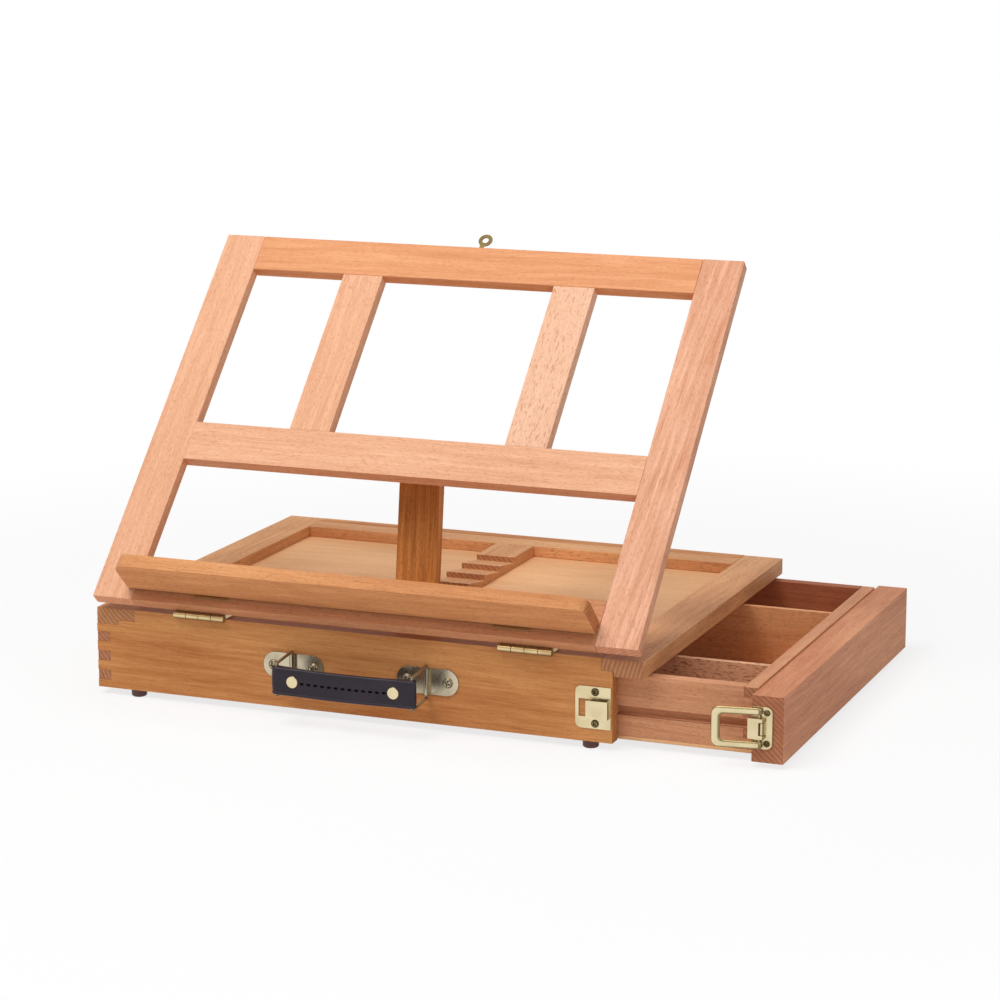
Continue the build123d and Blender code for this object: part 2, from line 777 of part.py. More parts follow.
# Hasp: its eye folds back over the case's stud when the frame lies flat
edge_plane = Plane(origin=frame_corner + along * frame_length, x_dir=(1, 0, 0), z_dir=along)
hasp_axis_up = hasp_sheet + hasp_knuckle_radius + knuckle_gap
hasp_axis = (
    frame_corner + along * (frame_length + hasp_axis_up) + outward * hasp_from_back
    + Vector(hasp_centre, 0, 0)
)
hasp_side_plane = Plane(origin=hasp_axis, x_dir=along, z_dir=(1, 0, 0))
hasp_eye_plane = Plane(origin=hasp_axis, x_dir=(1, 0, 0), z_dir=outward)
hasp_knuckle = (hasp_base_width - hasp_stem_width) / 2 - knuckle_gap

with BuildPart() as hasp_base:
    board(edge_plane, hasp_centre - hasp_base_width / 2, -hasp_base_depth - hasp_overhang, hasp_base_width,
          hasp_base_depth, hasp_sheet)
    for start in (-hasp_base_width / 2, hasp_base_width / 2 - hasp_knuckle):
        place = hasp_side_plane.offset(start)
        board(place, -hasp_axis_up, -hasp_lug / 2, hasp_axis_up, hasp_lug, hasp_knuckle)
        rod(place, [(0, 0)], hasp_knuckle_radius, hasp_knuckle)
    rod(hasp_side_plane.offset(-hasp_base_width / 2), [(0, 0)], hasp_pin_radius + turning_gap,
        hasp_base_width, Mode.SUBTRACT)
finish(hasp_base, "hasp_base")

with BuildPart() as hasp_pin:
    rod(hasp_side_plane.offset(-hasp_base_width / 2), [(0, 0)], hasp_pin_radius, hasp_base_width)
finish(hasp_pin, "hasp_pin")

with BuildPart() as hasp_eye:
    rod(hasp_side_plane.offset(-hasp_stem_width / 2), [(0, 0)], hasp_knuckle_radius, hasp_stem_width)
    with BuildSketch(hasp_eye_plane.offset(-hasp_sheet / 2)) as outline:
        with Locations((-hasp_stem_width / 2, 0)):
            Rectangle(hasp_stem_width, hasp_reach, align=(Align.MIN, Align.MIN))
        with Locations((hasp_eye_shift, hasp_reach)):
            Circle(hasp_eye_radius)
            Circle(hasp_hole_radius, mode=Mode.SUBTRACT)
    extrude(outline.sketch, amount=hasp_sheet)
    rod(hasp_side_plane.offset(-hasp_stem_width / 2), [(0, 0)], hasp_pin_radius + turning_gap,
        hasp_stem_width, Mode.SUBTRACT)
finish(hasp_eye, "hasp_eye")

stud_spot = [(-hasp_centre - hasp_eye_shift, case_height - stud_drop)]
rear_plane = Plane(origin=back_plane.origin, x_dir=(-1, 0, 0), z_dir=(0, 1, 0))

with BuildPart() as hasp_stud:
    rod(rear_plane, stud_spot, stud_radius, -stud_depth)
    rod(rear_plane, stud_spot, stud_plate_radius, stud_plate)
    rod(rear_plane, stud_spot, stud_radius, stud_length)
    rod(rear_plane.offset(stud_length - stud_head), stud_spot, stud_head_radius, stud_head)
finish(hasp_stud, "hasp_stud")

# Latch: drawn on the drawer's face as it stands open
latch_pin_axis = Plane(
    origin=(left + latch_pin_x + drawer_open, front - latch_pin_out, bottom + latch_height),
    x_dir=(1, 0, 0),
    z_dir=(0, 0, 1),
)
lever_plane = latch_pin_axis.offset(-lever_height / 2)
inner_knuckle = lever_height - 2 * lever_outer_knuckle - 2 * knuckle_gap

with BuildPart() as latch_base:
    with BuildSketch(front_plane) as outline:
        with Locations((latch_base_x + drawer_open, latch_height - latch_base_height / 2)):
            Rectangle(latch_base_length, latch_base_height, align=(Align.MIN, Align.MIN))
        fillet(outline.vertices().group_by(Axis.X)[-1], latch_corner)
    extrude(outline.sketch, amount=latch_plate)
    rod(front_plane, latch_screws, screw_shank_radius + pilot_gap, latch_plate, Mode.SUBTRACT)
    rod(latch_pin_axis.offset(-inner_knuckle / 2), [(0, 0)], latch_knuckle_radius, inner_knuckle)
    board(latch_pin_axis.offset(-inner_knuckle / 2), -latch_knuckle_radius, 0,
          2 * latch_knuckle_radius, latch_pin_out - latch_plate, inner_knuckle)
    rod(latch_pin_axis.offset(-inner_knuckle / 2), [(0, 0)], latch_pin_radius + turning_gap,
        inner_knuckle, Mode.SUBTRACT)
finish(latch_base, "latch_base")

with BuildPart() as latch_pin:
    rod(lever_plane, [(0, 0)], latch_pin_radius, lever_height)
finish(latch_pin, "latch_pin")

with BuildPart() as latch_screw_set:
    screws(front_plane, latch_screws, latch_plate)
finish(latch_screw_set, "latch_screws")

# The lever: two outer knuckles with cheeks for the loop's pins, and a thumb plate
with BuildPart() as latch_lever:
    for start in (0, lever_height - lever_outer_knuckle):
        with BuildSketch(lever_plane.offset(start)) as outline:
            with BuildLine():
                Line((0, latch_knuckle_radius), (-loop_offset, latch_knuckle_radius))
                ThreePointArc((-loop_offset, latch_knuckle_radius),
                              (-loop_offset - latch_knuckle_radius, 0),
                              (-loop_offset, -latch_knuckle_radius))
                Line((-loop_offset, -latch_knuckle_radius), (0, -latch_knuckle_radius))
                ThreePointArc((0, -latch_knuckle_radius), (latch_knuckle_radius, 0),
                              (0, latch_knuckle_radius))
            make_face()
        extrude(outline.sketch, amount=lever_outer_knuckle)
    clear_of_knuckle = latch_knuckle_radius + knuckle_gap
    board(lever_plane, -lever_reach, -latch_knuckle_radius, lever_reach - clear_of_knuckle, lever_sheet,
          lever_height)
    rod(lever_plane, [(0, 0)], latch_pin_radius + turning_gap, lever_height, Mode.SUBTRACT)
    for start, depth in ((0, loop_pin_depth), (lever_height, -loop_pin_depth)):
        rod(lever_plane.offset(start), [(-loop_offset, 0)], loop_pin_radius + turning_gap,
            depth, Mode.SUBTRACT)
finish(latch_lever, "latch_lever")

# The loop, lifted a little so that it rides over the strike as the drawer shuts
loop_axis = Plane(
    origin=latch_pin_axis.origin - Vector(loop_offset, 0, 0),
    x_dir=(cos(radians(loop_lift)), sin(radians(loop_lift)), 0),
    z_dir=(0, 0, 1),
)
loop_face = Plane(origin=loop_axis.origin, x_dir=loop_axis.x_dir, z_dir=loop_axis.y_dir * -1)
loop_opening = loop_height - 2 * loop_arm
loop_stub = loop_opening / 2 - lever_height / 2 + loop_pin_depth - turning_gap

with BuildPart() as latch_loop:
    with BuildSketch(loop_face.offset(-loop_thickness / 2)) as outline:
        with Locations((-loop_reach - loop_bar, -loop_height / 2)):
            Rectangle(loop_reach + loop_bar + loop_tail, loop_height, align=(Align.MIN, Align.MIN))
        fillet(outline.vertices().group_by(Axis.X)[0], loop_corner)
        with BuildSketch(loop_face.offset(-loop_thickness / 2), mode=Mode.SUBTRACT) as opening:
            with Locations((-loop_reach, -loop_opening / 2)):
                Rectangle(loop_reach + loop_tail, loop_opening, align=(Align.MIN, Align.MIN))
            fillet(opening.vertices().group_by(Axis.X)[0], loop_inner_corner)
    extrude(outline.sketch, amount=loop_thickness)
    for start, direction in ((-loop_opening / 2, 1), (loop_opening / 2, -1)):
        rod(loop_axis.offset(start), [(0, 0)], loop_pin_radius, direction * loop_stub)
finish(latch_loop, "latch_loop")

# The strike: a plate with a slot, and a raised tab whose end hooks the loop
strike_bottom = strike_middle - strike_height / 2
tab_bottom = latch_height + strike_tab_lift - strike_tab_height / 2
tab_plane = Plane(origin=(left, front, bottom + tab_bottom), x_dir=(1, 0, 0), z_dir=(0, 0, 1))
tab_end = latch_pin_x - lever_reach - strike_lever_gap
tab_profile = [
    (tab_end, -latch_plate),
    (tab_end, -strike_tab_out),
    (catch_x - strike_hook, -strike_tab_out),
    (catch_x - strike_hook, -strike_tab_out + latch_plate),
    (catch_x, -strike_tab_out + latch_plate),
    (catch_x, -latch_plate - knuckle_gap),
    (catch_x + latch_plate, -latch_plate - knuckle_gap),
    (catch_x + latch_plate, -strike_tab_out + latch_plate),
    (tab_end - latch_plate, -strike_tab_out + latch_plate),
    (tab_end - latch_plate, -latch_plate),
]

with BuildPart() as strike:
    with BuildSketch(front_plane) as outline:
        with Locations((strike_start, strike_bottom)):
            Rectangle(strike_length, strike_height, align=(Align.MIN, Align.MIN))
        fillet(outline.vertices().group_by(Axis.X)[0], latch_corner)
    extrude(outline.sketch, amount=latch_plate)
    board(front_plane, catch_x - strike_slot_length, tab_bottom, strike_slot_length, strike_tab_height,
          latch_plate, Mode.SUBTRACT)
    rod(front_plane, strike_screws, screw_shank_radius + pilot_gap, latch_plate, Mode.SUBTRACT)
    prism(tab_plane, tab_profile, strike_tab_height)
finish(strike, "strike")

with BuildPart() as strike_screw_set:
    screws(front_plane, strike_screws, latch_plate)
finish(strike_screw_set, "strike_screws")

# Handle
pivot_spots = [start + handle_pivot_inset for start in plate_starts]
pivot_points = [(x, -barrel_out) for x in pivot_spots]
barrel_plane = Plane(
    origin=(left, front, bottom + handle_height - handle_plate_height / 2),
    x_dir=(1, 0, 0),
    z_dir=(0, 0, 1),
)
plate_screws = [handle_screws[:2], handle_screws[2:]]

for label, start, pivot, points in zip(
    ("handle_plate_left", "handle_plate_right"), plate_starts, pivot_points, plate_screws
):
    with BuildPart() as handle_plate:
        with BuildSketch(front_plane) as outline:
            with Locations((start + handle_plate_length / 2, handle_height)):
                SlotOverall(handle_plate_length, handle_plate_height)
        extrude(outline.sketch, amount=handle_plate_sheet)
        rod(barrel_plane, [pivot], barrel_radius, handle_plate_height)
        rod(barrel_plane, [pivot], ring_wire_radius + turning_gap, handle_plate_height, Mode.SUBTRACT)
        rod(front_plane, points, screw_shank_radius + pilot_gap, handle_plate_sheet, Mode.SUBTRACT)
    finish(handle_plate, label)

with BuildPart() as handle_screw_set:
    screws(front_plane, handle_screws, handle_plate_sheet)
finish(handle_screw_set, "handle_screws")

for label, x in zip(("handle_ring_left", "handle_ring_right"), pivot_spots):
    ring_plane = Plane(origin=(left + x, front - barrel_out, bottom + handle_height),
                       x_dir=(0, -1, 0), z_dir=(-1, 0, 0))
    with BuildPart() as ring:
        with BuildLine(ring_plane) as path:
            FilletPolyline(
                (0, -ring_height / 2),
                (ring_reach, -ring_height / 2 - ring_drop),
                (ring_reach, ring_height / 2 - ring_drop),
                (0, ring_height / 2),
                radius=ring_corner,
                close=True,
            )
        with BuildSketch(Plane(origin=path.line @ 0, z_dir=path.line % 0)):
            Circle(ring_wire_radius)
        sweep()
    finish(ring, label)

# The rings' arms slope down, as they hang in their barrels
strap_middle = handle_height - ring_drop
strap_plane = Plane(
    origin=(left, front - barrel_out - ring_reach, bottom + strap_middle - strap_height / 2),
    x_dir=(1, 0, 0),
    z_dir=(0, 0, 1),
)
strap_ends = [(x, 0) for x in pivot_spots]
rivet_points = [(strap_ends[0][0] + rivet_inset, 0), (strap_ends[1][0] - rivet_inset, 0)]
rivet_plane = Plane(
    origin=(left, front - barrel_out - ring_reach - strap_thickness / 2, bottom + strap_middle),
    x_dir=(1, 0, 0),
    z_dir=(0, -1, 0),
)

with BuildPart() as strap:
    board(strap_plane, strap_ends[0][0], -strap_thickness / 2, strap_ends[1][0] - strap_ends[0][0],
          strap_thickness, strap_height)
    rod(strap_plane, strap_ends, strap_end_radius, strap_height)
    rod(strap_plane, strap_ends[:1], ring_wire_radius + turning_gap, strap_height, Mode.SUBTRACT)
    rod(strap_plane, strap_ends[1:], ring_wire_radius + loose_gap, strap_height, Mode.SUBTRACT)
    rod(rivet_plane, rivet_points, rivet_radius / 2, -strap_thickness, Mode.SUBTRACT)
finish(strap, "strap")

with BuildPart() as strap_rivets:
    rod(rivet_plane, rivet_points, rivet_radius / 2 - pilot_gap, -strap_thickness)
    for point in rivet_points:
        rod(rivet_plane, [point], rivet_radius, rivet_head)
        rod(rivet_plane.offset(-strap_thickness), [point], rivet_radius, -rivet_head)
    fillet(strap_rivets.edges().group_by(Axis.Y)[0], rivet_round)
finish(strap_rivets, "strap_rivets")
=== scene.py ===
import json
from math import cos, radians, sin

import bmesh
import bpy
import numpy as np
from mathutils import Matrix, Vector

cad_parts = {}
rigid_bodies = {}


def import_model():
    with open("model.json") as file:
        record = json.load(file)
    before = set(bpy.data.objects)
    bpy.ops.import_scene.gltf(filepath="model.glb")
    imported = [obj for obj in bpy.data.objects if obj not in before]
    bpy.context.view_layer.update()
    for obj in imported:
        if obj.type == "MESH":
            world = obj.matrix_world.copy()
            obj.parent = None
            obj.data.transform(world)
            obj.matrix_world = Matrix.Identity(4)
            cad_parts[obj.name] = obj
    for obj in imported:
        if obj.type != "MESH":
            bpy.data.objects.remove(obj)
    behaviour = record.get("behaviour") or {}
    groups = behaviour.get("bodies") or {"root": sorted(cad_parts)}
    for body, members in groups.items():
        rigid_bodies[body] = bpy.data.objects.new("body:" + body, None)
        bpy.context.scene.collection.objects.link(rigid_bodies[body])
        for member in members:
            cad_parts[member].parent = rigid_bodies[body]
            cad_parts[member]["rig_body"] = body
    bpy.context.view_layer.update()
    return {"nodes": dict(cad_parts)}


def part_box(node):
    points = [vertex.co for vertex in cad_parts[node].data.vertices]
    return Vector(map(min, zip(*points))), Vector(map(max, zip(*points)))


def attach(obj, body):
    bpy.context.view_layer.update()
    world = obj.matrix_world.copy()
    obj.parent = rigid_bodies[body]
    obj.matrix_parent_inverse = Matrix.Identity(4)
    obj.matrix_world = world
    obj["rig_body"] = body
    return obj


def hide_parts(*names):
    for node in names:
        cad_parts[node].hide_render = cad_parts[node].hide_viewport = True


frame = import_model()
nodes = frame["nodes"]
scene = bpy.context.scene


# small helpers

def fromScreen(r, g, b):  # a colour as seen on a screen, 0 to 255, as the linear colour that shaders take
    c = np.array([r, g, b]) / 255.0
    linear = np.where(c <= 0.04045, c / 12.92, ((c + 0.055) / 1.055) ** 2.4)
    return (*linear.tolist(), 1.0)


def put(tree, kind, inputs=None, **settings):  # a new node; an input is a value or the socket that feeds it
    made = tree.nodes.new(kind)
    for key, value in settings.items():
        setattr(made, key, value)
    for key, value in (inputs or {}).items():
        if isinstance(value, bpy.types.NodeSocket):
            tree.links.new(value, made.inputs[key])
        else:
            made.inputs[key].default_value = value
    return made


def calc(tree, operation, *values, clamp=False):  # one Math node
    made = put(tree, "ShaderNodeMath", dict(enumerate(values)), operation=operation, use_clamp=clamp)
    return made.outputs[0]


def ramp(tree, value, low, high):  # 0 below low, 1 above high, smooth between
    made = put(tree, "ShaderNodeMapRange", {"Value": value, "From Min": low, "From Max": high},
               interpolation_type="SMOOTHSTEP")
    return made.outputs["Result"]


def blendColours(tree, amount, first, second):  # the first where the amount is 0, the second where it is 1
    return put(tree, "ShaderNodeMix", {0: amount, 6: first, 7: second}, data_type="RGBA").outputs[2]


def stretched(tree, place, scale):  # the place multiplied by a scale for each axis
    made = put(tree, "ShaderNodeVectorMath", {0: place, 1: scale}, operation="MULTIPLY")
    return made.outputs[0]


def cloud(tree, place, detail=2.0, roughness=0.5):  # noise from 0 to 1 at unit size
    made = put(tree, "ShaderNodeTexNoise",
               {"Vector": place, "Scale": 1.0, "Detail": detail, "Roughness": roughness})
    return made.outputs["Fac"]


def newGroup(name, inputs, outputs):  # an empty node group with its sockets
    tree = bpy.data.node_groups.new(name, "ShaderNodeTree")
    for label, kind, value in inputs:
        socket = tree.interface.new_socket(label, in_out="INPUT", socket_type=kind)
        if value is not None:
            socket.default_value = value
    for label, kind in outputs:
        tree.interface.new_socket(label, in_out="OUTPUT", socket_type=kind)
    return tree, tree.nodes.new("NodeGroupInput").outputs, tree.nodes.new("NodeGroupOutput").inputs


def placeGroup(tree, group, inputs):
    return put(tree, "ShaderNodeGroup", inputs, node_tree=group).outputs


def newMaterial(name):
    material = bpy.data.materials.new(name)
    material.use_nodes = True
    tree = material.node_tree
    return material, tree, tree.nodes["Principled BSDF"]


def seenDirectly(tree):  # 1 for what the camera sees straight, in a reflection or through glass
    rays = put(tree, "ShaderNodeLightPath")
    seen = calc(tree, "MAXIMUM", rays.outputs["Is Camera Ray"], rays.outputs["Is Transmission Ray"])
    return calc(tree, "MAXIMUM", seen, rays.outputs["Is Glossy Ray"])


# wood: the place has x along the grain, y across the board and z through it, in metres

woodFigure = {  # scales are per metre for each axis; limits are where a mark begins and where it is full
    "toneScale": (7.0, 26.0, 26.0), "toneStrength": 3.0,
    "bendScale": (5.0, 9.0, 9.0), "bend": 0.012,
    "streakScale": (12.0, 300.0, 170.0), "streakStrength": 3.2,
    "fibreScale": (42.0, 1100.0, 1100.0), "fibreStrength": 1.05,
    "poreScale": (300.0, 1500.0, 1500.0), "poreLimits": (0.54, 0.68),
    "rayScale": (200.0, 760.0, 760.0), "rayLimits": (0.58, 0.68),
    "ringScale": 112.0, "ringBend": 2.6, "ringShade": 0.36, "endShade": 0.34,
    "roughness": 0.42, "fibreRoughness": 0.16, "endRoughness": 0.2,
    "poreDepth": -0.7, "streakHeight": 0.2,
}


def buildWoodGroup(figure):
    tree, given, result = newGroup(
        "solidWood",
        [("Place", "NodeSocketVector", None), ("Light", "NodeSocketColor", (0.8, 0.5, 0.3, 1)),
         ("Dark", "NodeSocketColor", (0.6, 0.3, 0.15, 1)), ("Fleck", "NodeSocketColor", (0.4, 0.18, 0.1, 1)),
         ("Clouds", "NodeSocketFloat", 0.4), ("Streaks", "NodeSocketFloat", 0.4),
         ("Flecks", "NodeSocketFloat", 0.4), ("Rays", "NodeSocketFloat", 0.0),
         ("End", "NodeSocketFloat", 0.0)],
        [("Colour", "NodeSocketColor"), ("Roughness", "NodeSocketFloat"), ("Height", "NodeSocketFloat")])
    place = given["Place"]

    def around(value, strength, total):  # adds strength times how far the noise is from its middle
        return calc(tree, "MULTIPLY_ADD", calc(tree, "SUBTRACT", value, 0.5), strength, total)

    # slow clouds, long soft streaks where the growth layers surface, and fine fibres
    tone = cloud(tree, stretched(tree, place, figure["toneScale"]), 2.0, 0.55)
    bend = cloud(tree, stretched(tree, place, figure["bendScale"]), 1.0)
    push = put(tree, "ShaderNodeCombineXYZ", {"Y": calc(tree, "MULTIPLY", bend, figure["bend"])}).outputs[0]
    drifted = put(tree, "ShaderNodeVectorMath", {0: place, 1: push}, operation="ADD").outputs[0]
    streak = cloud(tree, stretched(tree, drifted, figure["streakScale"]), 3.0, 0.6)
    fibre = cloud(tree, stretched(tree, place, figure["fibreScale"]), 3.0, 0.6)
    shade = around(tone, calc(tree, "MULTIPLY", given["Clouds"], figure["toneStrength"]), 0.5)
    shade = around(streak, calc(tree, "MULTIPLY", given["Streaks"], figure["streakStrength"]), shade)
    shade = around(fibre, figure["fibreStrength"], shade)
    shade = calc(tree, "ADD", shade, 0.0, clamp=True)
    colour = blendColours(tree, shade, given["Light"], given["Dark"])
    # short dark pores and the larger glossy rays, on the faces only
    pores = ramp(tree, cloud(tree, stretched(tree, place, figure["poreScale"]), 1.0), *figure["poreLimits"])
    rays = ramp(tree, cloud(tree, stretched(tree, place, figure["rayScale"]), 1.0), *figure["rayLimits"])
    face = calc(tree, "SUBTRACT", 1.0, given["End"])
    for mark, strength in ((pores, given["Flecks"]), (rays, given["Rays"])):
        mark = calc(tree, "MULTIPLY", calc(tree, "MULTIPLY", mark, strength), face)
        colour = blendColours(tree, mark, colour, given["Fleck"])
    # across the ends the wood is darker, and its rings show as fine circles round the pith
    rings = put(tree, "ShaderNodeTexWave",
                {"Vector": place, "Scale": figure["ringScale"], "Distortion": figure["ringBend"],
                 "Detail": 2.0, "Detail Scale": 0.5},
                wave_type="RINGS", rings_direction="X", wave_profile="SIN").outputs["Fac"]
    endShade = calc(tree, "MULTIPLY_ADD", rings, figure["ringShade"], figure["endShade"])
    colour = blendColours(tree, calc(tree, "MULTIPLY", endShade, given["End"]), colour, given["Fleck"])
    tree.links.new(colour, result["Colour"])
    rough = calc(tree, "MULTIPLY_ADD", fibre, figure["fibreRoughness"], figure["roughness"])
    rough = calc(tree, "MULTIPLY_ADD", given["End"], figure["endRoughness"], rough)
    tree.links.new(rough, result["Roughness"])
    height = calc(tree, "MULTIPLY_ADD", pores, figure["poreDepth"], fibre)
    height = calc(tree, "MULTIPLY_ADD", streak, figure["streakHeight"], height)
    tree.links.new(height, result["Height"])
    return tree


woodGroup = buildWoodGroup(woodFigure)

easel = {"tilt": 45.7, "strutLean": 6.97}  # degrees: the frame from level, the strut from upright
tilt = radians(easel["tilt"])
lean = radians(easel["strutLean"])
along = Vector((0, cos(tilt), sin(tilt)))
outward = Vector((0, -sin(tilt), cos(tilt)))
strutUp = Vector((0, sin(lean), cos(lean)))
xAxis, yAxis, zAxis = Vector((1, 0, 0)), Vector((0, 1, 0)), Vector((0, 0, 1))

grains = {  # grain direction, across the board, through the board
    "x": (xAxis, yAxis, zAxis),
    "xUpright": (xAxis, zAxis, -yAxis),
    "y": (yAxis, -xAxis, zAxis),
    "yUpright": (yAxis, zAxis, xAxis),
    "frameAcross": (xAxis, along, outward),
    "frameUp": (along, -xAxis, outward),
    "strut": (strutUp, -xAxis, strutUp.cross(-xAxis)),
}

woods = {  # colours as seen on a screen, and how strongly each kind of mark shows
    "topBeech": {"light": (241, 175, 129), "dark": (215, 143, 97), "fleck": (199, 117, 74),
                 "clouds": 0.22, "streaks": 0.50, "flecks": 0.34, "rays": 0.0},
    "frameBeech": {"light": (248, 195, 159), "dark": (221, 160, 122), "fleck": (204, 130, 92),
                   "clouds": 0.20, "streaks": 0.42, "flecks": 0.46, "rays": 0.0},
    # painted shade: a darker copy of frame beech, its colour standing in for the ledge's shadow on the bottom
    # rail
    "ledgeShadowBeech": {"light": (218, 158, 118), "dark": (190, 126, 86), "fleck": (160, 96, 62),
                    "clouds": 0.24, "streaks": 0.42, "flecks": 0.40, "rays": 0.0},
    "streakedBeech": {"light": (250, 197, 165), "dark": (204, 136, 100), "fleck": (190, 116, 82),
                      "clouds": 0.26, "streaks": 0.42, "flecks": 0.42, "rays": 0.0},
    "fleckedBeech": {"light": (248, 202, 171), "dark": (230, 177, 143), "fleck": (198, 132, 99),
                     "clouds": 0.20, "streaks": 0.20, "flecks": 0.30, "rays": 0.60},
    "ledgeBeech": {"light": (232, 167, 113), "dark": (198, 128, 81), "fleck": (153, 88, 55),
                   "clouds": 0.40, "streaks": 0.35, "flecks": 0.30, "rays": 0.0},
    "strutBeech": {"light": (218, 147, 82), "dark": (159, 94, 47), "fleck": (117, 65, 37),
                   "clouds": 0.45, "streaks": 0.60, "flecks": 0.34, "rays": 0.0},
    "caseBeech": {"light": (225, 161, 101), "dark": (184, 114, 65), "fleck": (147, 85, 51),
                  "clouds": 0.60, "streaks": 0.40, "flecks": 0.22, "rays": 0.0},
    "railBeech": {"light": (243, 186, 132), "dark": (203, 141, 95), "fleck": (142, 87, 61),
                  "clouds": 0.45, "streaks": 0.34, "flecks": 0.36, "rays": 0.0},
    "redBeech": {"light": (225, 166, 125), "dark": (189, 124, 89), "fleck": (140, 84, 61),
                 "clouds": 0.40, "streaks": 0.34, "flecks": 0.30, "rays": 0.0},
    "faceBeech": {"light": (224, 160, 120), "dark": (187, 117, 83), "fleck": (138, 80, 58),
                  "clouds": 0.44, "streaks": 0.38, "flecks": 0.30, "rays": 0.0},
    "rosyBeech": {"light": (242, 184, 134), "dark": (202, 142, 98), "fleck": (138, 84, 60),
                  "clouds": 0.50, "streaks": 0.36, "flecks": 0.36, "rays": 0.0},
    "pockedBeech": {"light": (240, 190, 152), "dark": (214, 158, 120), "fleck": (140, 84, 60),
                    "clouds": 0.35, "streaks": 0.25, "flecks": 0.50, "rays": 0.70},
    "innerBeech": {"light": (190, 118, 84), "dark": (156, 88, 60), "fleck": (112, 60, 42),
                   "clouds": 0.40, "streaks": 0.40, "flecks": 0.26, "rays": 0.0},
    "dividerBeech": {"light": (244, 186, 134), "dark": (220, 150, 102), "fleck": (170, 104, 70),
                     "clouds": 0.35, "streaks": 0.30, "flecks": 0.34, "rays": 0.25},
    "plainBeech": {"light": (212, 160, 120), "dark": (186, 128, 90), "fleck": (132, 80, 54),
                   "clouds": 0.30, "streaks": 0.25, "flecks": 0.30, "rays": 0.20},
    "plywood": {"light": (250, 201, 152), "dark": (224, 168, 119), "fleck": (190, 132, 88),
                "clouds": 0.35, "streaks": 0.25, "flecks": 0.22, "rays": 0.0},
}


boardFinish = {"endLimits": (0.72, 0.95), "bump": 0.12, "bumpHeight": 0.0004, "gloss": 0.06}


def woodMaterial(name, wood, grain, spot, turn):
    # spot is where the board was cut from the log: along it, across it and out from the pith, in metres
    look = woods[wood]
    material, tree, shader = newMaterial(name)
    axes = Matrix(grains[grain])
    tipped = Matrix.Rotation(radians(turn[0]), 3, "Y") @ Matrix.Rotation(radians(turn[1]), 3, "Z")
    coordinates = put(tree, "ShaderNodeTexCoord")
    mapping = put(tree, "ShaderNodeMapping", {"Vector": coordinates.outputs["Object"], "Location": spot,
                                              "Rotation": (tipped @ axes).to_euler()})
    facing = put(tree, "ShaderNodeVectorMath",
                 {0: coordinates.outputs["Normal"], 1: tuple(grains[grain][0])}, operation="DOT_PRODUCT")
    end = ramp(tree, calc(tree, "ABSOLUTE", facing.outputs["Value"]), *boardFinish["endLimits"])
    made = placeGroup(tree, woodGroup, {
        "Place": mapping.outputs[0], "Light": fromScreen(*look["light"]), "Dark": fromScreen(*look["dark"]),
        "Fleck": fromScreen(*look["fleck"]), "Clouds": look["clouds"], "Streaks": look["streaks"],
        "Flecks": look["flecks"], "Rays": look["rays"], "End": end})
    tree.links.new(made["Colour"], shader.inputs["Base Color"])
    tree.links.new(made["Roughness"], shader.inputs["Roughness"])
    bump = put(tree, "ShaderNodeBump", {"Height": made["Height"], "Strength": boardFinish["bump"],
                                        "Distance": boardFinish["bumpHeight"]})
    tree.links.new(bump.outputs[0], shader.inputs["Normal"])
    shader.inputs["Specular IOR Level"].default_value = boardFinish["gloss"]
    return material


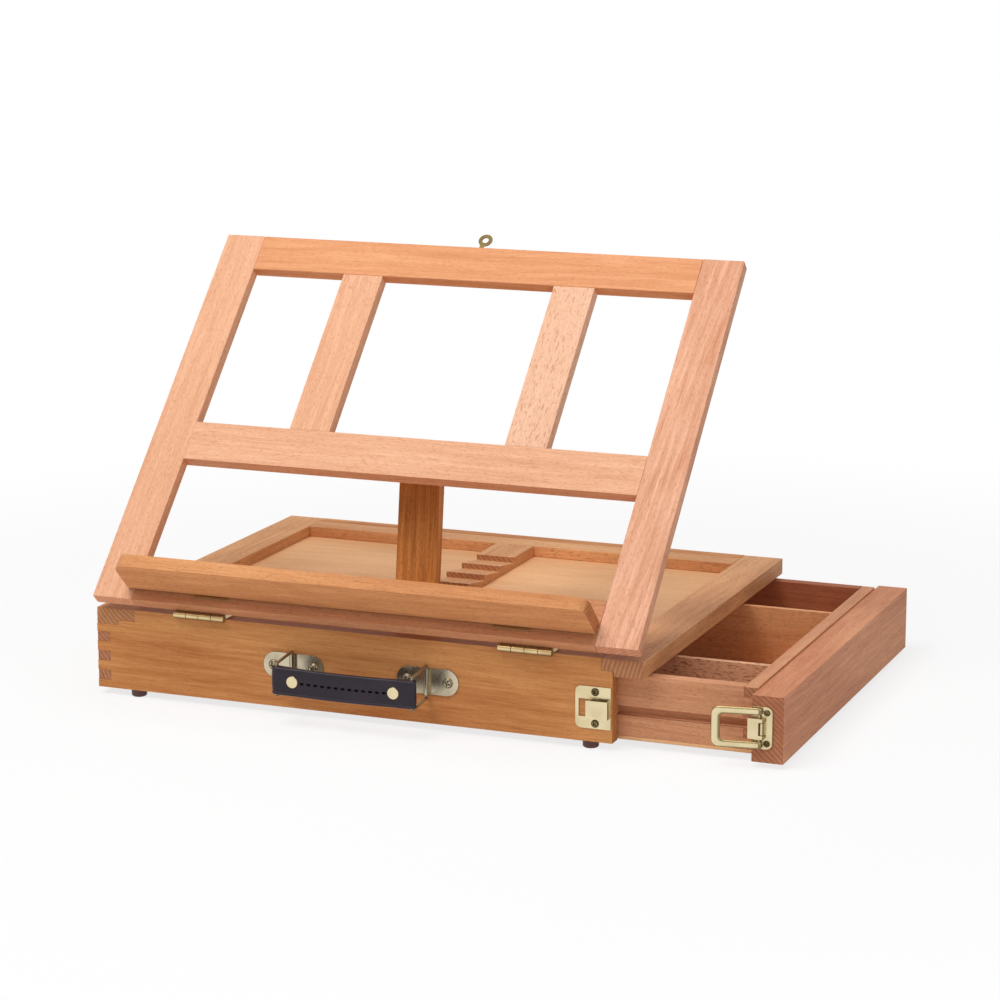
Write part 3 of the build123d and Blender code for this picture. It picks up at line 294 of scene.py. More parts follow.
boards = {  # piece: wood, grain, place in the log (along, across, out), turn of the grain in degrees
    "easel_stile_left": ("frameBeech", "frameUp", (0.10, 0.20, -0.16), (0.5, 0.6)),
    "easel_stile_right": ("streakedBeech", "frameUp", (0.70, 0.26, 0.02), (0.4, 3.2)),
    "easel_top_rail": ("topBeech", "frameAcross", (1.30, 0.05, -0.35), (0.4, -0.7)),
    "easel_mid_rail": ("frameBeech", "frameAcross", (2.10, 0.11, -0.28), (0.6, 0.8)),
    # the bottom rail's colour is painted darker for the shadow under the ledge
    "easel_bottom_rail": ("ledgeShadowBeech", "frameAcross", (2.90, 0.06, -0.24), (0.6, 0.4)),
    "easel_muntin_left": ("frameBeech", "frameUp", (3.70, 0.13, -0.20), (0.3, 0.6)),
    "easel_muntin_right": ("fleckedBeech", "frameUp", (4.30, 0.17, -0.22), (0.2, 0.4)),
    "ledge": ("ledgeBeech", "frameAcross", (5.10, 0.09, -0.07), (1.2, 0.8)),
    "strut": ("strutBeech", "strut", (5.70, -0.02, -0.11), (1.0, 1.5)),
    "front_wall": ("caseBeech", "xUpright", (6.30, 0.02, -0.20), (1.6, 1.0)),
    "back_wall": ("caseBeech", "xUpright", (7.10, 0.03, 0.10), (1.0, 0.6)),
    "left_wall": ("redBeech", "yUpright", (7.90, 0.02, 0.30), (0.4, 0.5)),
    "top_left_rail": ("railBeech", "y", (8.50, -0.20, -0.09), (0.5, 0.5)),
    "top_right_rail": ("rosyBeech", "y", (9.10, -0.09, -0.13), (0.6, 1.4)),
    "top_front_rail": ("railBeech", "x", (9.70, 0.16, -0.12), (0.5, 0.4)),
    "top_back_rail": ("railBeech", "x", (10.30, -0.10, -0.12), (0.5, 0.4)),
    "notched_rack": ("railBeech", "y", (10.90, 0.02, -0.13), (0.4, 0.7)),
    "top_panel": ("plywood", "x", (11.50, 0.00, -0.05), (0.3, 0.2)),
    "drawer_face": ("faceBeech", "yUpright", (12.10, 0.14, -0.10), (0.8, 1.2)),
    "drawer_front_side": ("redBeech", "xUpright", (12.70, 0.03, -0.21), (0.8, 0.5)),
    "drawer_back_side": ("innerBeech", "xUpright", (13.30, 0.02, -0.05), (0.8, 0.4)),
    "drawer_left_end": ("plainBeech", "yUpright", (13.90, 0.03, 0.24), (0.4, 0.5)),
    "drawer_right_end": ("redBeech", "yUpright", (14.50, 0.04, -0.15), (0.4, 0.5)),
    "drawer_front_divider": ("pockedBeech", "xUpright", (15.10, 0.02, 0.05), (0.4, 0.4)),
    "drawer_back_divider": ("dividerBeech", "xUpright", (15.70, 0.05, -0.03), (0.4, 0.4)),
    "drawer_bottom": ("plywood", "x", (16.30, 0.03, -0.04), (0.2, 0.2)),
    "drawer_runners": ("redBeech", "x", (16.90, 0.01, -0.06), (0.2, 0.2)),
}

softEdges = {"boards": 0.0006, "boardSteps": 2, "sharpFrom": 28.0, "mergeWithin": 1e-6}  # metres and degrees


def softened(name, width, segments):
    # a merged copy of the piece whose sharp edges are rounded a little, shown in its place
    source = nodes[name]
    mesh = source.data.copy()
    mesh.name = name + "Soft"
    mesh.materials.clear()
    work = bmesh.new()
    work.from_mesh(mesh)
    bmesh.ops.remove_doubles(work, verts=work.verts, dist=softEdges["mergeWithin"])
    work.to_mesh(mesh)
    work.free()
    mesh.polygons.foreach_set("use_smooth", np.ones(len(mesh.polygons), bool))
    piece = bpy.data.objects.new(name + "Soft", mesh)
    scene.collection.objects.link(piece)
    bevel = piece.modifiers.new("softEdge", "BEVEL")
    bevel.width = width
    bevel.segments = segments
    bevel.limit_method = "ANGLE"
    bevel.angle_limit = radians(softEdges["sharpFrom"])
    bevel.use_clamp_overlap = True
    weighted = piece.modifiers.new("flatFaces", "WEIGHTED_NORMAL")
    weighted.keep_sharp = False
    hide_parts(name)
    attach(piece, source["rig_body"])
    return piece


for name, (wood, grain, spot, turn) in boards.items():
    piece = softened(name, softEdges["boards"], softEdges["boardSteps"])
    piece.data.materials.append(woodMaterial(name + "Wood", wood, grain, spot, turn))
print("boards finished:", len(boards))


# metal: plated sheet with faint brushing, spots and dulled patches, and a painted dark reflection where its
# edges turn away from the front

plateFigure = {  # scales are per metre; limits are where a mark begins and where it is full
    "patchScale": (70.0, 70.0, 70.0), "patchLimits": (0.38, 0.70),
    "spotScale": (600.0, 600.0, 600.0), "spotLimits": (0.66, 0.80), "spotShade": 0.05,
    "brushScale": (2600.0, 900.0, 260.0), "brushRoughness": 0.07, "wearRoughness": 0.25,
    # the band and clear limits shape the painted dark reflection on turned edges
    "reflectionBandLimits": (0.016, 0.09), "clearLimits": (0.42, 0.80), "clearShare": 0.55,
    "bump": 0.03, "bumpHeight": 0.0002,
}


def buildPlateGroup(figure):
    tree, given, result = newGroup(
        "platedMetal",
        [("Place", "NodeSocketVector", None), ("Bright", "NodeSocketColor", (0.9, 0.8, 0.5, 1)),
         ("Dull", "NodeSocketColor", (0.6, 0.5, 0.3, 1)), ("Reflected dark", "NodeSocketColor", (0.2, 0.15, 0.05, 1)),
         ("Wear", "NodeSocketFloat", 0.3), ("Depth", "NodeSocketFloat", 0.6),
         ("Turned", "NodeSocketFloat", 0.0), ("Base roughness", "NodeSocketFloat", 0.2)],
        [("Colour", "NodeSocketColor"), ("Roughness", "NodeSocketFloat"), ("Height", "NodeSocketFloat")])
    place = given["Place"]
    patches = cloud(tree, stretched(tree, place, figure["patchScale"]), 1.5, 0.5)
    patches = ramp(tree, patches, *figure["patchLimits"])
    brushing = cloud(tree, stretched(tree, place, figure["brushScale"]), 2.0)
    spots = ramp(tree, cloud(tree, stretched(tree, place, figure["spotScale"]), 1.0), *figure["spotLimits"])
    wear = calc(tree, "MULTIPLY", patches, given["Wear"])
    dulled = calc(tree, "MAXIMUM", wear, calc(tree, "MULTIPLY", spots, figure["spotShade"]))
    colour = blendColours(tree, dulled, given["Bright"], given["Dull"])
    # painted reflection: rounded edges and knuckles get a dark band painted into their colour where they turn
    # away from the front, as a dark reflection would show, then clear again
    cleared = ramp(tree, given["Turned"], *figure["clearLimits"])
    cleared = calc(tree, "MULTIPLY", cleared, figure["clearShare"])
    reflectionBand = calc(tree, "MULTIPLY", ramp(tree, given["Turned"], *figure["reflectionBandLimits"]),
                calc(tree, "SUBTRACT", 1.0, cleared))
    colour = blendColours(tree, calc(tree, "MULTIPLY", reflectionBand, given["Depth"]), colour, given["Reflected dark"])
    tree.links.new(colour, result["Colour"])
    rough = calc(tree, "MULTIPLY_ADD", wear, figure["wearRoughness"], given["Base roughness"])
    rough = calc(tree, "MULTIPLY_ADD", brushing, figure["brushRoughness"], rough)
    tree.links.new(rough, result["Roughness"])
    tree.links.new(brushing, result["Height"])
    return tree


plateGroup = buildPlateGroup(plateFigure)
metals = {  # colours as seen on a screen, the darkest being a painted reflection; wear is how strongly dulled patches show, and the share after it how strongly the painted dark reflection bands show
    "brightBrass": {"bright": (230, 214, 174), "dull": (204, 184, 136), "reflectedDark": (112, 92, 46), "wear": 0.45,
                    "depth": 0.85, "roughness": 0.19},
    "hingeBrass": {"bright": (224, 200, 150), "dull": (180, 150, 100), "reflectedDark": (108, 80, 44), "wear": 0.55,
                   "depth": 0.70, "roughness": 0.26},
    "oldBrass": {"bright": (150, 130, 84), "dull": (108, 92, 54), "reflectedDark": (62, 50, 26), "wear": 0.8,
                 "depth": 0.70, "roughness": 0.30},
    "warmNickel": {"bright": (206, 194, 168), "dull": (150, 136, 108), "reflectedDark": (84, 68, 48), "wear": 0.60,
                   "depth": 0.80, "roughness": 0.22},
    "darkScrew": {"bright": (170, 154, 108), "dull": (104, 90, 60), "reflectedDark": (44, 36, 22), "wear": 0.7,
                  "depth": 0.85, "roughness": 0.26},
}


def metalMaterial(name):
    look = metals[name]
    material, tree, shader = newMaterial(name)
    coordinates = put(tree, "ShaderNodeTexCoord")
    # how far the surface turns away from the front, which places the painted reflection
    facing = put(tree, "ShaderNodeVectorMath", {0: coordinates.outputs["Normal"], 1: (0.0, -1.0, 0.0)},
                 operation="DOT_PRODUCT")
    turned = calc(tree, "SUBTRACT", 1.0, calc(tree, "ABSOLUTE", facing.outputs["Value"]))
    made = placeGroup(tree, plateGroup, {
        "Place": coordinates.outputs["Object"], "Bright": fromScreen(*look["bright"]),
        "Dull": fromScreen(*look["dull"]), "Reflected dark": fromScreen(*look["reflectedDark"]), "Wear": look["wear"],
        "Depth": look["depth"], "Turned": turned, "Base roughness": look["roughness"]})
    tree.links.new(made["Colour"], shader.inputs["Base Color"])
    tree.links.new(made["Roughness"], shader.inputs["Roughness"])
    bump = put(tree, "ShaderNodeBump", {"Height": made["Height"], "Strength": plateFigure["bump"],
                                        "Distance": plateFigure["bumpHeight"]})
    tree.links.new(bump.outputs[0], shader.inputs["Normal"])
    shader.inputs["Metallic"].default_value = 1.0
    return material


metalOf = {name: metalMaterial(name) for name in metals}
fittings = {  # piece: metal, edge rounding in metres, steps round the edge
    "latch_base": ("brightBrass", 0.0003, 2), "latch_lever": ("brightBrass", 0.0003, 2),
    "latch_pin": ("brightBrass", 0.0001, 1),
    "strike": ("brightBrass", 0.0003, 2), "strap_rivets": ("brightBrass", 0.0002, 2),
    "case_hinge_leaves": ("hingeBrass", 0.0002, 2), "frame_hinge_leaves": ("hingeBrass", 0.0002, 2),
    "hinge_pins": ("hingeBrass", 0.0002, 1), "ledge_frame_leaves": ("hingeBrass", 0.0002, 1),
    "ledge_leaves": ("hingeBrass", 0.0002, 1), "ledge_pins": ("hingeBrass", 0.0001, 1),
    "strut_frame_leaf": ("hingeBrass", 0.0002, 1), "strut_hinge_leaf": ("hingeBrass", 0.0002, 1),
    "strut_pin": ("hingeBrass", 0.0001, 1), "strut_frame_screws": ("darkScrew", 0.0001, 1),
    "strut_screws": ("darkScrew", 0.0001, 1), "case_hinge_screws": ("darkScrew", 0.0001, 1),
    "frame_hinge_screws": ("darkScrew", 0.0001, 1), "hasp_base": ("oldBrass", 0.0002, 2),
    "hasp_pin": ("oldBrass", 0.0001, 1), "hasp_eye": ("oldBrass", 0.0003, 2),
    "hasp_stud": ("oldBrass", 0.0002, 2), "handle_plate_left": ("warmNickel", 0.0001, 1),
    "handle_plate_right": ("warmNickel", 0.0001, 1), "handle_ring_left": ("warmNickel", 0.0001, 1),
    "handle_ring_right": ("warmNickel", 0.0001, 1),
}
for name, (metal, width, segments) in fittings.items():
    piece = softened(name, width, segments)
    piece.data.materials.append(metalOf[metal])
print("metal fittings finished:", len(fittings))


def newPiece(name, points, faces, material, body):  # a smooth mesh in the shared frame, riding on a body
    mesh = bpy.data.meshes.new(name)
    mesh.from_pydata(points.reshape(-1, 3).tolist(), [], faces)
    mesh.polygons.foreach_set("use_smooth", np.ones(len(mesh.polygons), bool))
    mesh.materials.append(material)
    piece = bpy.data.objects.new(name, mesh)
    scene.collection.objects.link(piece)
    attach(piece, body)
    return piece


def gridFaces(rows, columns):  # quads of a grid of points whose last column joins its first
    row, column = np.meshgrid(np.arange(rows - 1), np.arange(columns), indexing="ij")
    following = (column + 1) % columns
    corners = [row * columns + column, row * columns + following,
               (row + 1) * columns + following, (row + 1) * columns + column]
    return np.stack([c.ravel() for c in corners], axis=1)


def faceOutwards(mesh, closeEnds=False):
    work = bmesh.new()
    work.from_mesh(mesh)
    if closeEnds:
        bmesh.ops.holes_fill(work, edges=work.edges, sides=0)
    bmesh.ops.recalc_face_normals(work, faces=work.faces)
    work.to_mesh(mesh)
    work.free()


# loop of the latch: a flat U of rounded section whose two arms end in short pins

latchLoop = {"lift": 9.0, "back": 0.0018, "reach": 0.0252, "bar": 0.0060, "arm": 0.0048, "height": 0.0272,
             "tail": 0.0013, "thickness": 0.0022, "corner": 0.0052, "innerCorner": 0.0026, "pin": 0.0006,
             "pinEnd": 0.0052, "squareness": 2.2, "straightSteps": 12, "cornerSteps": 14, "sectionSteps": 40,
             "pinSteps": 24}  # the lift is in degrees, and sizes are in metres


def roundedU(look, length, half, corner):
    # out along the lower arm, round a quarter circle, up the bar, round again and back along the upper arm
    arm = np.linspace(-look["tail"], length - corner, look["straightSteps"])
    turn = np.linspace(0, np.pi / 2, look["cornerSteps"] + 2)[1:-1]
    bar = np.linspace(-half + corner, half - corner, look["straightSteps"])
    out = np.concatenate([arm, length - corner + corner * np.sin(turn), 0 * bar + length,
                          length - corner + corner * np.cos(turn), arm[::-1]])
    side = np.concatenate([0 * arm - half, -half + corner - corner * np.cos(turn), bar,
                           half - corner + corner * np.sin(turn), 0 * arm + half])
    return out, side


def loopPoints(look):
    # between the inner and the outer U a point lies at the share 0.5 + 0.5 cos^k and stands out by sin^k
    # of half the thickness, with k = 2 / squareness, which rounds the section
    outerOut, outerSide = roundedU(look, look["reach"] + look["bar"], look["height"] / 2, look["corner"])
    innerOut, innerSide = roundedU(look, look["reach"], look["height"] / 2 - look["arm"], look["innerCorner"])
    angle = np.arange(look["sectionSteps"]) * 2 * np.pi / look["sectionSteps"]
    power = 2 / look["squareness"]
    share = 0.5 + 0.5 * np.sign(np.cos(angle)) * np.abs(np.cos(angle)) ** power
    proud = look["thickness"] / 2 * np.sign(np.sin(angle)) * np.abs(np.sin(angle)) ** power
    out = innerOut[:, None] + (outerOut - innerOut)[:, None] * share
    side = innerSide[:, None] + (outerSide - innerSide)[:, None] * share
    return out, side, np.broadcast_to(proud, out.shape)


def pinPoints(look, direction):  # a cylinder of the pin's radius from inside the arm to the lever
    angle = np.arange(look["pinSteps"]) * 2 * np.pi / look["pinSteps"]
    ends = np.array([look["height"] / 2 - look["arm"] / 2, look["pinEnd"]]) * direction
    out, side = np.meshgrid(look["pin"] * np.cos(angle), ends, indexing="xy")
    return out, side, np.broadcast_to(look["pin"] * np.sin(angle), out.shape)


pinLow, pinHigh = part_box("latch_pin")
pivot = np.array([(pinLow.x + pinHigh.x) / 2 - latchLoop["back"], (pinLow.y + pinHigh.y) / 2,
                  (pinLow.z + pinHigh.z) / 2])
lift = radians(latchLoop["lift"])
axes = np.array([(-cos(lift), -sin(lift), 0), (0, 0, 1), (sin(lift), -cos(lift), 0)])
points, faces, first = [], [], 0
for shape in (loopPoints(latchLoop), pinPoints(latchLoop, 1), pinPoints(latchLoop, -1)):
    shape = np.stack(shape, axis=-1) @ axes + pivot
    rows, columns = shape.shape[:2]
    points.append(shape.reshape(-1, 3))
    faces += (gridFaces(rows, columns) + first).tolist()
    faces += [[first + c for c in range(columns)], [first + (rows - 1) * columns + c for c in range(columns)]]
    first += rows * columns
loop = newPiece("latchLoop", np.concatenate(points), faces, metalOf["brightBrass"], "latch_loop")
faceOutwards(loop.data)
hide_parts("latch_loop")
print("latch loop finished")


# screws with a cross recess

crossScrew = {  # shares of the head's radius, but for the shank's radius and length in metres
    "dome": 0.44, "rim": 0.07, "slotHalf": 0.14, "slotEdge": 1.4, "slotReach": 0.62, "slotDepth": 0.42,
    "centre": 0.005, "firstRing": 0.06, "tip": 0.01, "shank": 0.0009, "length": 0.004, "rings": 22,
    "steps": 64,
}


def screwPoints(look, size):
    # height over the seat at radius r and angle a: rim + dome * sqrt(1 - r^2), less the cross recess, which
    # is deepest where a point is near one of the two slots' centre lines and fades to their ends; all of it
    # as shares of the head's radius, which is the size
    radius = np.concatenate([[look["centre"]], np.linspace(look["firstRing"], 1.0, look["rings"])])
    angle = np.arange(look["steps"]) * 2 * np.pi / look["steps"]
    r, a = np.meshgrid(radius, angle, indexing="ij")
    x, y = r * np.cos(a), r * np.sin(a)
    height = look["rim"] + look["dome"] * np.sqrt(np.clip(1 - r ** 2, 0, 1))
    near = np.minimum(np.abs(x), np.abs(y))
    groove = np.clip(look["slotEdge"] - near / look["slotHalf"], 0, 1)
    groove = groove * np.clip(1.0 - (r / look["slotReach"]) ** 4, 0, 1)
    height = height - look["slotDepth"] * groove
    rows = [np.stack([x, y, height], axis=-1) * size]
    for reach, drop in ((size, 0.0), (look["shank"], 0.0), (look["shank"], -look["length"]),
                        (look["tip"] * size, -look["length"])):
        rows.append(np.stack([x[-1] * reach, y[-1] * reach, np.full_like(x[-1], drop)], axis=-1)[None])
    return np.concatenate(rows)


def addScrews(name, replaced, size, spots, seat, body, material, turns):
    # spots are x and z on a face whose y is seat; the heads point to the front, each turned on its axis
    shape = screwPoints(crossScrew, size)
    rows, columns = shape.shape[:2]
    faces, points = [], []
    for index, (x, z) in enumerate(spots):
        turn = radians(turns[index % len(turns)])
        u = shape[..., 0] * cos(turn) - shape[..., 1] * sin(turn)
        v = shape[..., 0] * sin(turn) + shape[..., 1] * cos(turn)
        points.append(np.stack([x + u, seat - shape[..., 2], z + v], axis=-1).reshape(-1, 3))
        faces.append(gridFaces(rows, columns) + index * rows * columns)
    piece = newPiece(name, np.concatenate(points), np.concatenate(faces).tolist(), material, body)
    faceOutwards(piece.data, closeEnds=True)
    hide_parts(replaced)


screwSizes = {"handle": 0.0036, "latch": 0.0022, "strike": 0.0027, "handleInset": 0.0075, "sheet": 0.001,
              "handleTurns": (20, 55, 10, 70), "smallTurns": (35, 62)}  # head radii, and turns in degrees
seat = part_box("front_wall")[0].y - screwSizes["sheet"]
spots = []
for side in ("left", "right"):
    low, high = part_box("handle_plate_" + side)
    middle = (low.z + high.z) / 2
    spots += [(low.x + screwSizes["handleInset"], middle), (high.x - screwSizes["handleInset"], middle)]
addScrews("handleScrewHeads", "handle_screws", screwSizes["handle"], spots, seat, "case",
          metalOf["warmNickel"], screwSizes["handleTurns"])
for part, body in (("latch", "drawer"), ("strike", "case")):
    low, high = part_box(part + "_screws")
    x = (low.x + high.x) / 2
    inset = (high.x - low.x) / 2
    addScrews(part + "ScrewHeads", part + "_screws", screwSizes[part],
              [(x, low.z + inset), (x, high.z - inset)], seat, body, metalOf["darkScrew"],
              screwSizes["smallTurns"])
print("screws finished")


# leather strap: two layers folded round the rings and sewn, with a raised edge above and below

strapLook = {"foldRadius": 0.0032, "halfThickness": 0.0020, "settle": 0.020, "sag": 0.0011,
             "rivetRadius": 0.0042, "straightSteps": 60, "foldSteps": 18}
strapEdge = [  # height as a share of half the strap's height, and how far the surface is drawn in, in mm
    (-1.000, 1.50), (-0.995, 0.85), (-0.970, 0.36), (-0.930, 0.10), (-0.885, 0.00), (-0.845, 0.08),
    (-0.815, 0.30), (-0.790, 0.42), (-0.750, 0.34), (-0.640, 0.24), (-0.440, 0.16), (-0.200, 0.12),
    (0.0, 0.11),
]


def strapDrop(look, x, left, right):
    # how far the strap hangs below its ends at x: a parabola, the sag in the middle and nothing at the ends
    return look["sag"] * (1 - (2 * (x - (left + right) / 2) / (right - left)) ** 2)


def strapPoints(look, left, right, y, low, high):
    # round the strap, a point is its centre on the line between the ring bars plus the outward normal times
    # the half thickness there; up the strap, the half thickness shrinks by the edge profile
    s = np.linspace(0, 1, look["straightSteps"])
    ease = 0.5 - 0.5 * np.cos(np.pi * np.clip(np.minimum(s, 1 - s) * (right - left) / look["settle"], 0, 1))
    half = look["foldRadius"] + (look["halfThickness"] - look["foldRadius"]) * ease
    turn = np.linspace(0, np.pi, look["foldSteps"] + 2)[1:-1]
    centres = np.concatenate([left + (right - left) * s, np.full(len(turn), right),
                              right - (right - left) * s, np.full(len(turn), left)])
    normalX = np.concatenate([0 * s, np.sin(turn), 0 * s, -np.sin(turn)])
    normalY = np.concatenate([0 * s - 1, -np.cos(turn), 0 * s + 1, np.cos(turn)])
    halves = np.concatenate([half, 0 * turn + look["foldRadius"], half, 0 * turn + look["foldRadius"]])
    profile = strapEdge + [(-share, inset) for share, inset in strapEdge[-2::-1]]
    share, inset = np.array(profile).T
    reach = halves[None, :] - inset[:, None] / 1000
    x = centres[None, :] + normalX[None, :] * reach
    z = (low + high) / 2 + share[:, None] * (high - low) / 2 - strapDrop(look, x, left, right)
    return np.stack([x, y + normalY[None, :] * reach, z], axis=-1)


leatherLook = {"light": (36, 25, 38), "dark": (24, 17, 27), "rubbed": (56, 42, 54), "rubbedShare": 0.35,
               "pebbles": 900.0, "wrinkles": (160.0, 160.0, 420.0), "rubbing": (60.0, 60.0, 90.0),
               "rubbingLimits": (0.4, 0.75), "roughness": 0.30, "wrinkleRoughness": 0.2,
               "wrinkleHeight": 0.8, "bump": 0.22, "bumpHeight": 0.0004, "gloss": 0.35}
leather, tree, shader = newMaterial("aubergineLeather")
place = put(tree, "ShaderNodeTexCoord").outputs["Object"]
pebble = put(tree, "ShaderNodeTexVoronoi", {"Vector": place, "Scale": leatherLook["pebbles"]})
wrinkle = cloud(tree, stretched(tree, place, leatherLook["wrinkles"]), 3.0)
rubbed = cloud(tree, stretched(tree, place, leatherLook["rubbing"]), 3.0)
rubbed = calc(tree, "MULTIPLY", ramp(tree, rubbed, *leatherLook["rubbingLimits"]), leatherLook["rubbedShare"])
colour = blendColours(tree, wrinkle, fromScreen(*leatherLook["light"]), fromScreen(*leatherLook["dark"]))
colour = blendColours(tree, rubbed, colour, fromScreen(*leatherLook["rubbed"]))
tree.links.new(colour, shader.inputs["Base Color"])
rough = calc(tree, "MULTIPLY_ADD", wrinkle, leatherLook["wrinkleRoughness"], leatherLook["roughness"])
tree.links.new(rough, shader.inputs["Roughness"])
height = calc(tree, "MULTIPLY_ADD", wrinkle, leatherLook["wrinkleHeight"], pebble.outputs["Distance"])
bump = put(tree, "ShaderNodeBump", {"Height": height, "Strength": leatherLook["bump"],
                                    "Distance": leatherLook["bumpHeight"]})
tree.links.new(bump.outputs[0], shader.inputs["Normal"])
shader.inputs["Specular IOR Level"].default_value = leatherLook["gloss"]

threadLook = {"light": (16, 10, 14), "dark": (8, 5, 8), "twist": (1800.0, 900.0, 900.0), "roughness": 0.9,
              "gloss": 0.02}
thread, tree, shader = newMaterial("darkThread")
place = put(tree, "ShaderNodeTexCoord").outputs["Object"]
twist = cloud(tree, stretched(tree, place, threadLook["twist"]), 2.0)
colour = blendColours(tree, twist, fromScreen(*threadLook["light"]), fromScreen(*threadLook["dark"]))
tree.links.new(colour, shader.inputs["Base Color"])
shader.inputs["Roughness"].default_value = threadLook["roughness"]
shader.inputs["Specular IOR Level"].default_value = threadLook["gloss"]

low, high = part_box("strap")
barLeft, barRight = low.x + strapLook["foldRadius"], high.x - strapLook["foldRadius"]
strapY = (low.y + high.y) / 2
points = strapPoints(strapLook, barLeft, barRight, strapY, low.z, high.z)
rows, columns = points.shape[:2]
faces = gridFaces(rows, columns).tolist()
ends = [list(range(columns))[::-1], list(range((rows - 1) * columns, rows * columns))]
strap = newPiece("leatherStrap", points, faces + ends, leather, "handle_strap")
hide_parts("strap")

stitch = {"count": 13, "length": 0.0031, "radius": 0.00076, "flatness": 0.6, "proud": 0.00004,
          "margin": 0.0026, "rings": 9, "steps": 10}


def stitchPoints(look, x, y, z):
    # each stitch is a thin spindle: radius * sqrt(1 - u^2) round its own line, u from -1 to 1
    share, angle = np.meshgrid(np.linspace(-1, 1, look["rings"]),
                               np.arange(look["steps"]) * 2 * np.pi / look["steps"], indexing="ij")
    radius = look["radius"] * np.sqrt(np.clip(1 - share ** 2, 0.01, 1))
    shape = np.stack([share * look["length"] / 2, radius * np.cos(angle) * look["flatness"],
                      radius * np.sin(angle)], axis=-1)
    middles = np.stack([x, np.full_like(x, y), z], axis=-1)
    return shape[None] + middles[:, None, None, :]


rivetLow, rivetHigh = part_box("strap_rivets")
inset = 2 * strapLook["rivetRadius"] + stitch["margin"]
x = np.linspace(rivetLow.x + inset, rivetHigh.x - inset, stitch["count"])
z = (low.z + high.z) / 2 - strapDrop(strapLook, x, barLeft, barRight)
stitches = stitchPoints(stitch, x, strapY - strapLook["halfThickness"] - stitch["proud"], z)
count, rings, steps = stitches.shape[:3]
faces = np.concatenate([gridFaces(rings, steps) + index * rings * steps for index in range(count)]).tolist()
sewn = newPiece("strapStitches", stitches, faces, thread, "handle_strap")
print("strap finished")


# feet

footLook = {"colour": (74, 36, 34), "scuffed": (96, 58, 50), "scuffs": (500.0, 500.0, 300.0),
            "scuffLimits": (0.4, 0.8), "roughness": 0.38, "scuffRoughness": 0.3}
foot, tree, shader = newMaterial("brownFoot")
place = put(tree, "ShaderNodeTexCoord").outputs["Object"]
scuff = ramp(tree, cloud(tree, stretched(tree, place, footLook["scuffs"]), 3.0), *footLook["scuffLimits"])
colour = blendColours(tree, scuff, fromScreen(*footLook["colour"]), fromScreen(*footLook["scuffed"]))
tree.links.new(colour, shader.inputs["Base Color"])
rough = calc(tree, "MULTIPLY_ADD", scuff, footLook["scuffRoughness"], footLook["roughness"])
tree.links.new(rough, shader.inputs["Roughness"])
feet = nodes["feet"]
feet.data.materials.clear()
feet.data.materials.append(foot)
print("feet finished")


# floor, background, lights and camera

studio = {"floorReach": 3.0, "floorShade": 0.93, "floorRoughness": 0.9, "floorGloss": 0.1, "shadowKept": 0.22,
          "fadeFrom": 0.40, "fadeTo": 0.90, "ambient": 0.20}
floorMesh = bpy.data.meshes.new("studioFloor")
edge = studio["floorReach"]
corners = [(-edge, -edge, 0), (edge, -edge, 0), (edge, edge, 0), (-edge, edge, 0)]
floorMesh.from_pydata(corners, [], [(0, 1, 2, 3)])
floor = bpy.data.objects.new("studioFloor", floorMesh)
scene.collection.objects.link(floor)
floorMaterial, tree, shader = newMaterial("paleFloor")
shader.inputs["Base Color"].default_value = (*[studio["floorShade"]] * 3, 1)
shader.inputs["Roughness"].default_value = studio["floorRoughness"]
shader.inputs["Specular IOR Level"].default_value = studio["floorGloss"]
# the floor glows white to the eye, fully far from the easel and a little less near it, where its shadow shows
glow = put(tree, "ShaderNodeEmission", {"Color": (1, 1, 1, 1), "Strength": 1.0})
place = put(tree, "ShaderNodeTexCoord").outputs["Object"]
reach = put(tree, "ShaderNodeVectorMath", {0: place}, operation="LENGTH").outputs["Value"]
fade = ramp(tree, reach, studio["fadeFrom"], studio["fadeTo"])
white = calc(tree, "MULTIPLY_ADD", fade, studio["shadowKept"], 1 - studio["shadowKept"])
white = calc(tree, "MULTIPLY", white, seenDirectly(tree))
mixed = put(tree, "ShaderNodeMixShader", {0: white, 1: shader.outputs[0], 2: glow.outputs[0]})
tree.links.new(mixed.outputs[0], tree.nodes["Material Output"].inputs[0])
floorMesh.materials.append(floorMaterial)

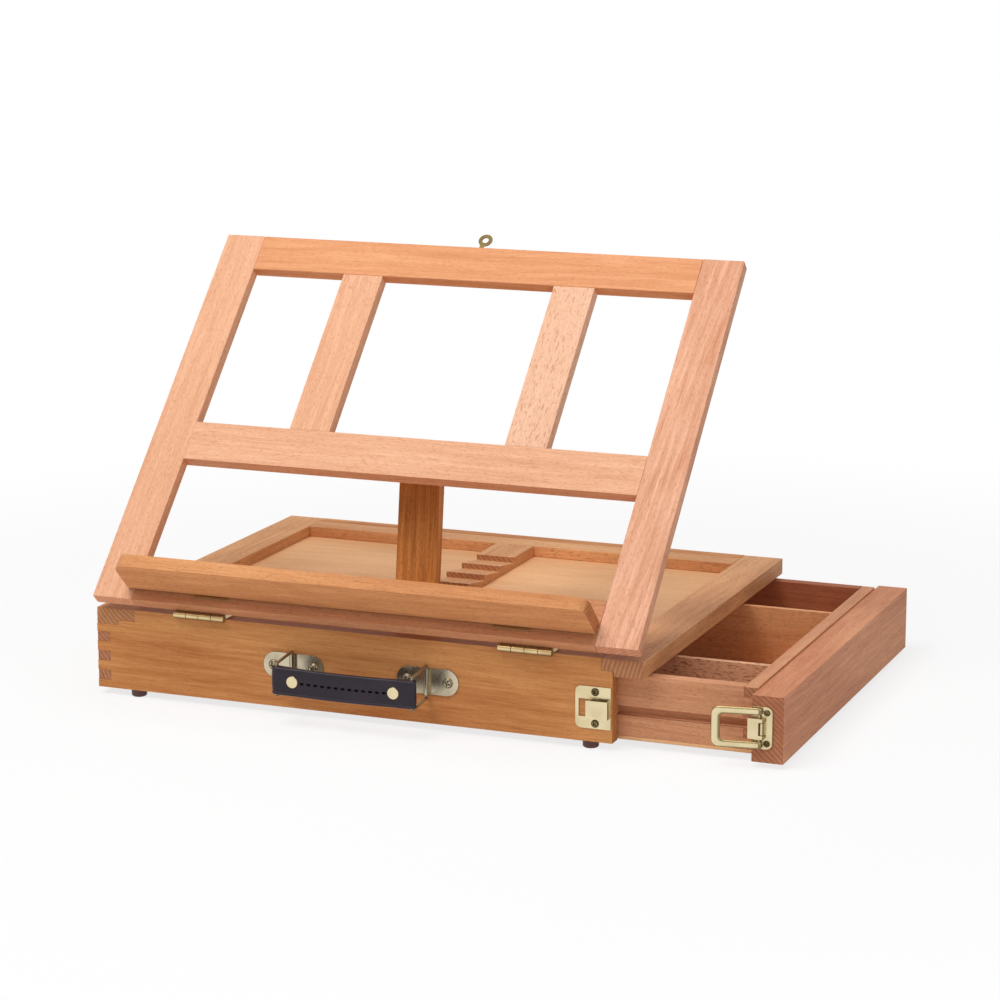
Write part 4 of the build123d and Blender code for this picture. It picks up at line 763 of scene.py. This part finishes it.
world = bpy.data.worlds.new("studio")
scene.world = world
world.use_nodes = True
tree = world.node_tree
tree.nodes.clear()
soft = put(tree, "ShaderNodeBackground", {"Color": (1, 1, 1, 1), "Strength": studio["ambient"]})
white = put(tree, "ShaderNodeBackground", {"Color": (1, 1, 1, 1), "Strength": 1.0})
mixed = put(tree, "ShaderNodeMixShader", {0: seenDirectly(tree), 1: soft.outputs[0], 2: white.outputs[0]})
output = put(tree, "ShaderNodeOutputWorld")
tree.links.new(mixed.outputs[0], output.inputs[0])

lamps = {  # place, aim, size in metres, power
    "keyLamp": ((-0.5, -1.05, 2.15), (0.0, 0.0, 0.1), 1.3, 38.0),
    "topLamp": ((0.3, 0.2, 1.9), (0.0, 0.0, 0.05), 1.2, 8.0),
    "fillLamp": ((1.7, -1.0, 0.7), (0.0, 0.0, 0.1), 1.0, 5.0),
}
for name, (place, aim, size, power) in lamps.items():
    light = bpy.data.lights.new(name, "AREA")
    light.size = size
    light.energy = power
    lamp = bpy.data.objects.new(name, light)
    lamp.location = place
    lamp.rotation_euler = (Vector(aim) - Vector(place)).to_track_quat("-Z", "Y").to_euler()
    scene.collection.objects.link(lamp)

shot = {"place": (0.77595, -1.95888, 0.58638), "azimuth": 21.703, "elevation": 12.271, "roll": -0.054,
        "lens": 110.93, "sensor": 36.0, "sees": 50.0}  # metres, degrees, and millimetres for lens and sensor
azimuth, elevation, roll = (radians(shot[k]) for k in ("azimuth", "elevation", "roll"))
back = Vector((sin(azimuth) * cos(elevation), -cos(azimuth) * cos(elevation), sin(elevation)))
right = Vector((0, 0, 1)).cross(back).normalized()
up = back.cross(right)
right, up = right * cos(roll) + up * sin(roll), up * cos(roll) - right * sin(roll)
lens = bpy.data.cameras.new("camera")
lens.lens = shot["lens"]
lens.sensor_width = shot["sensor"]
lens.clip_end = shot["sees"]
camera = bpy.data.objects.new("camera", lens)
camera.matrix_world = Matrix.Translation(shot["place"]) @ Matrix((right, up, back)).transposed().to_4x4()
scene.collection.objects.link(camera)
scene.camera = camera
scene.view_settings.view_transform = "Standard"
print("studio finished")
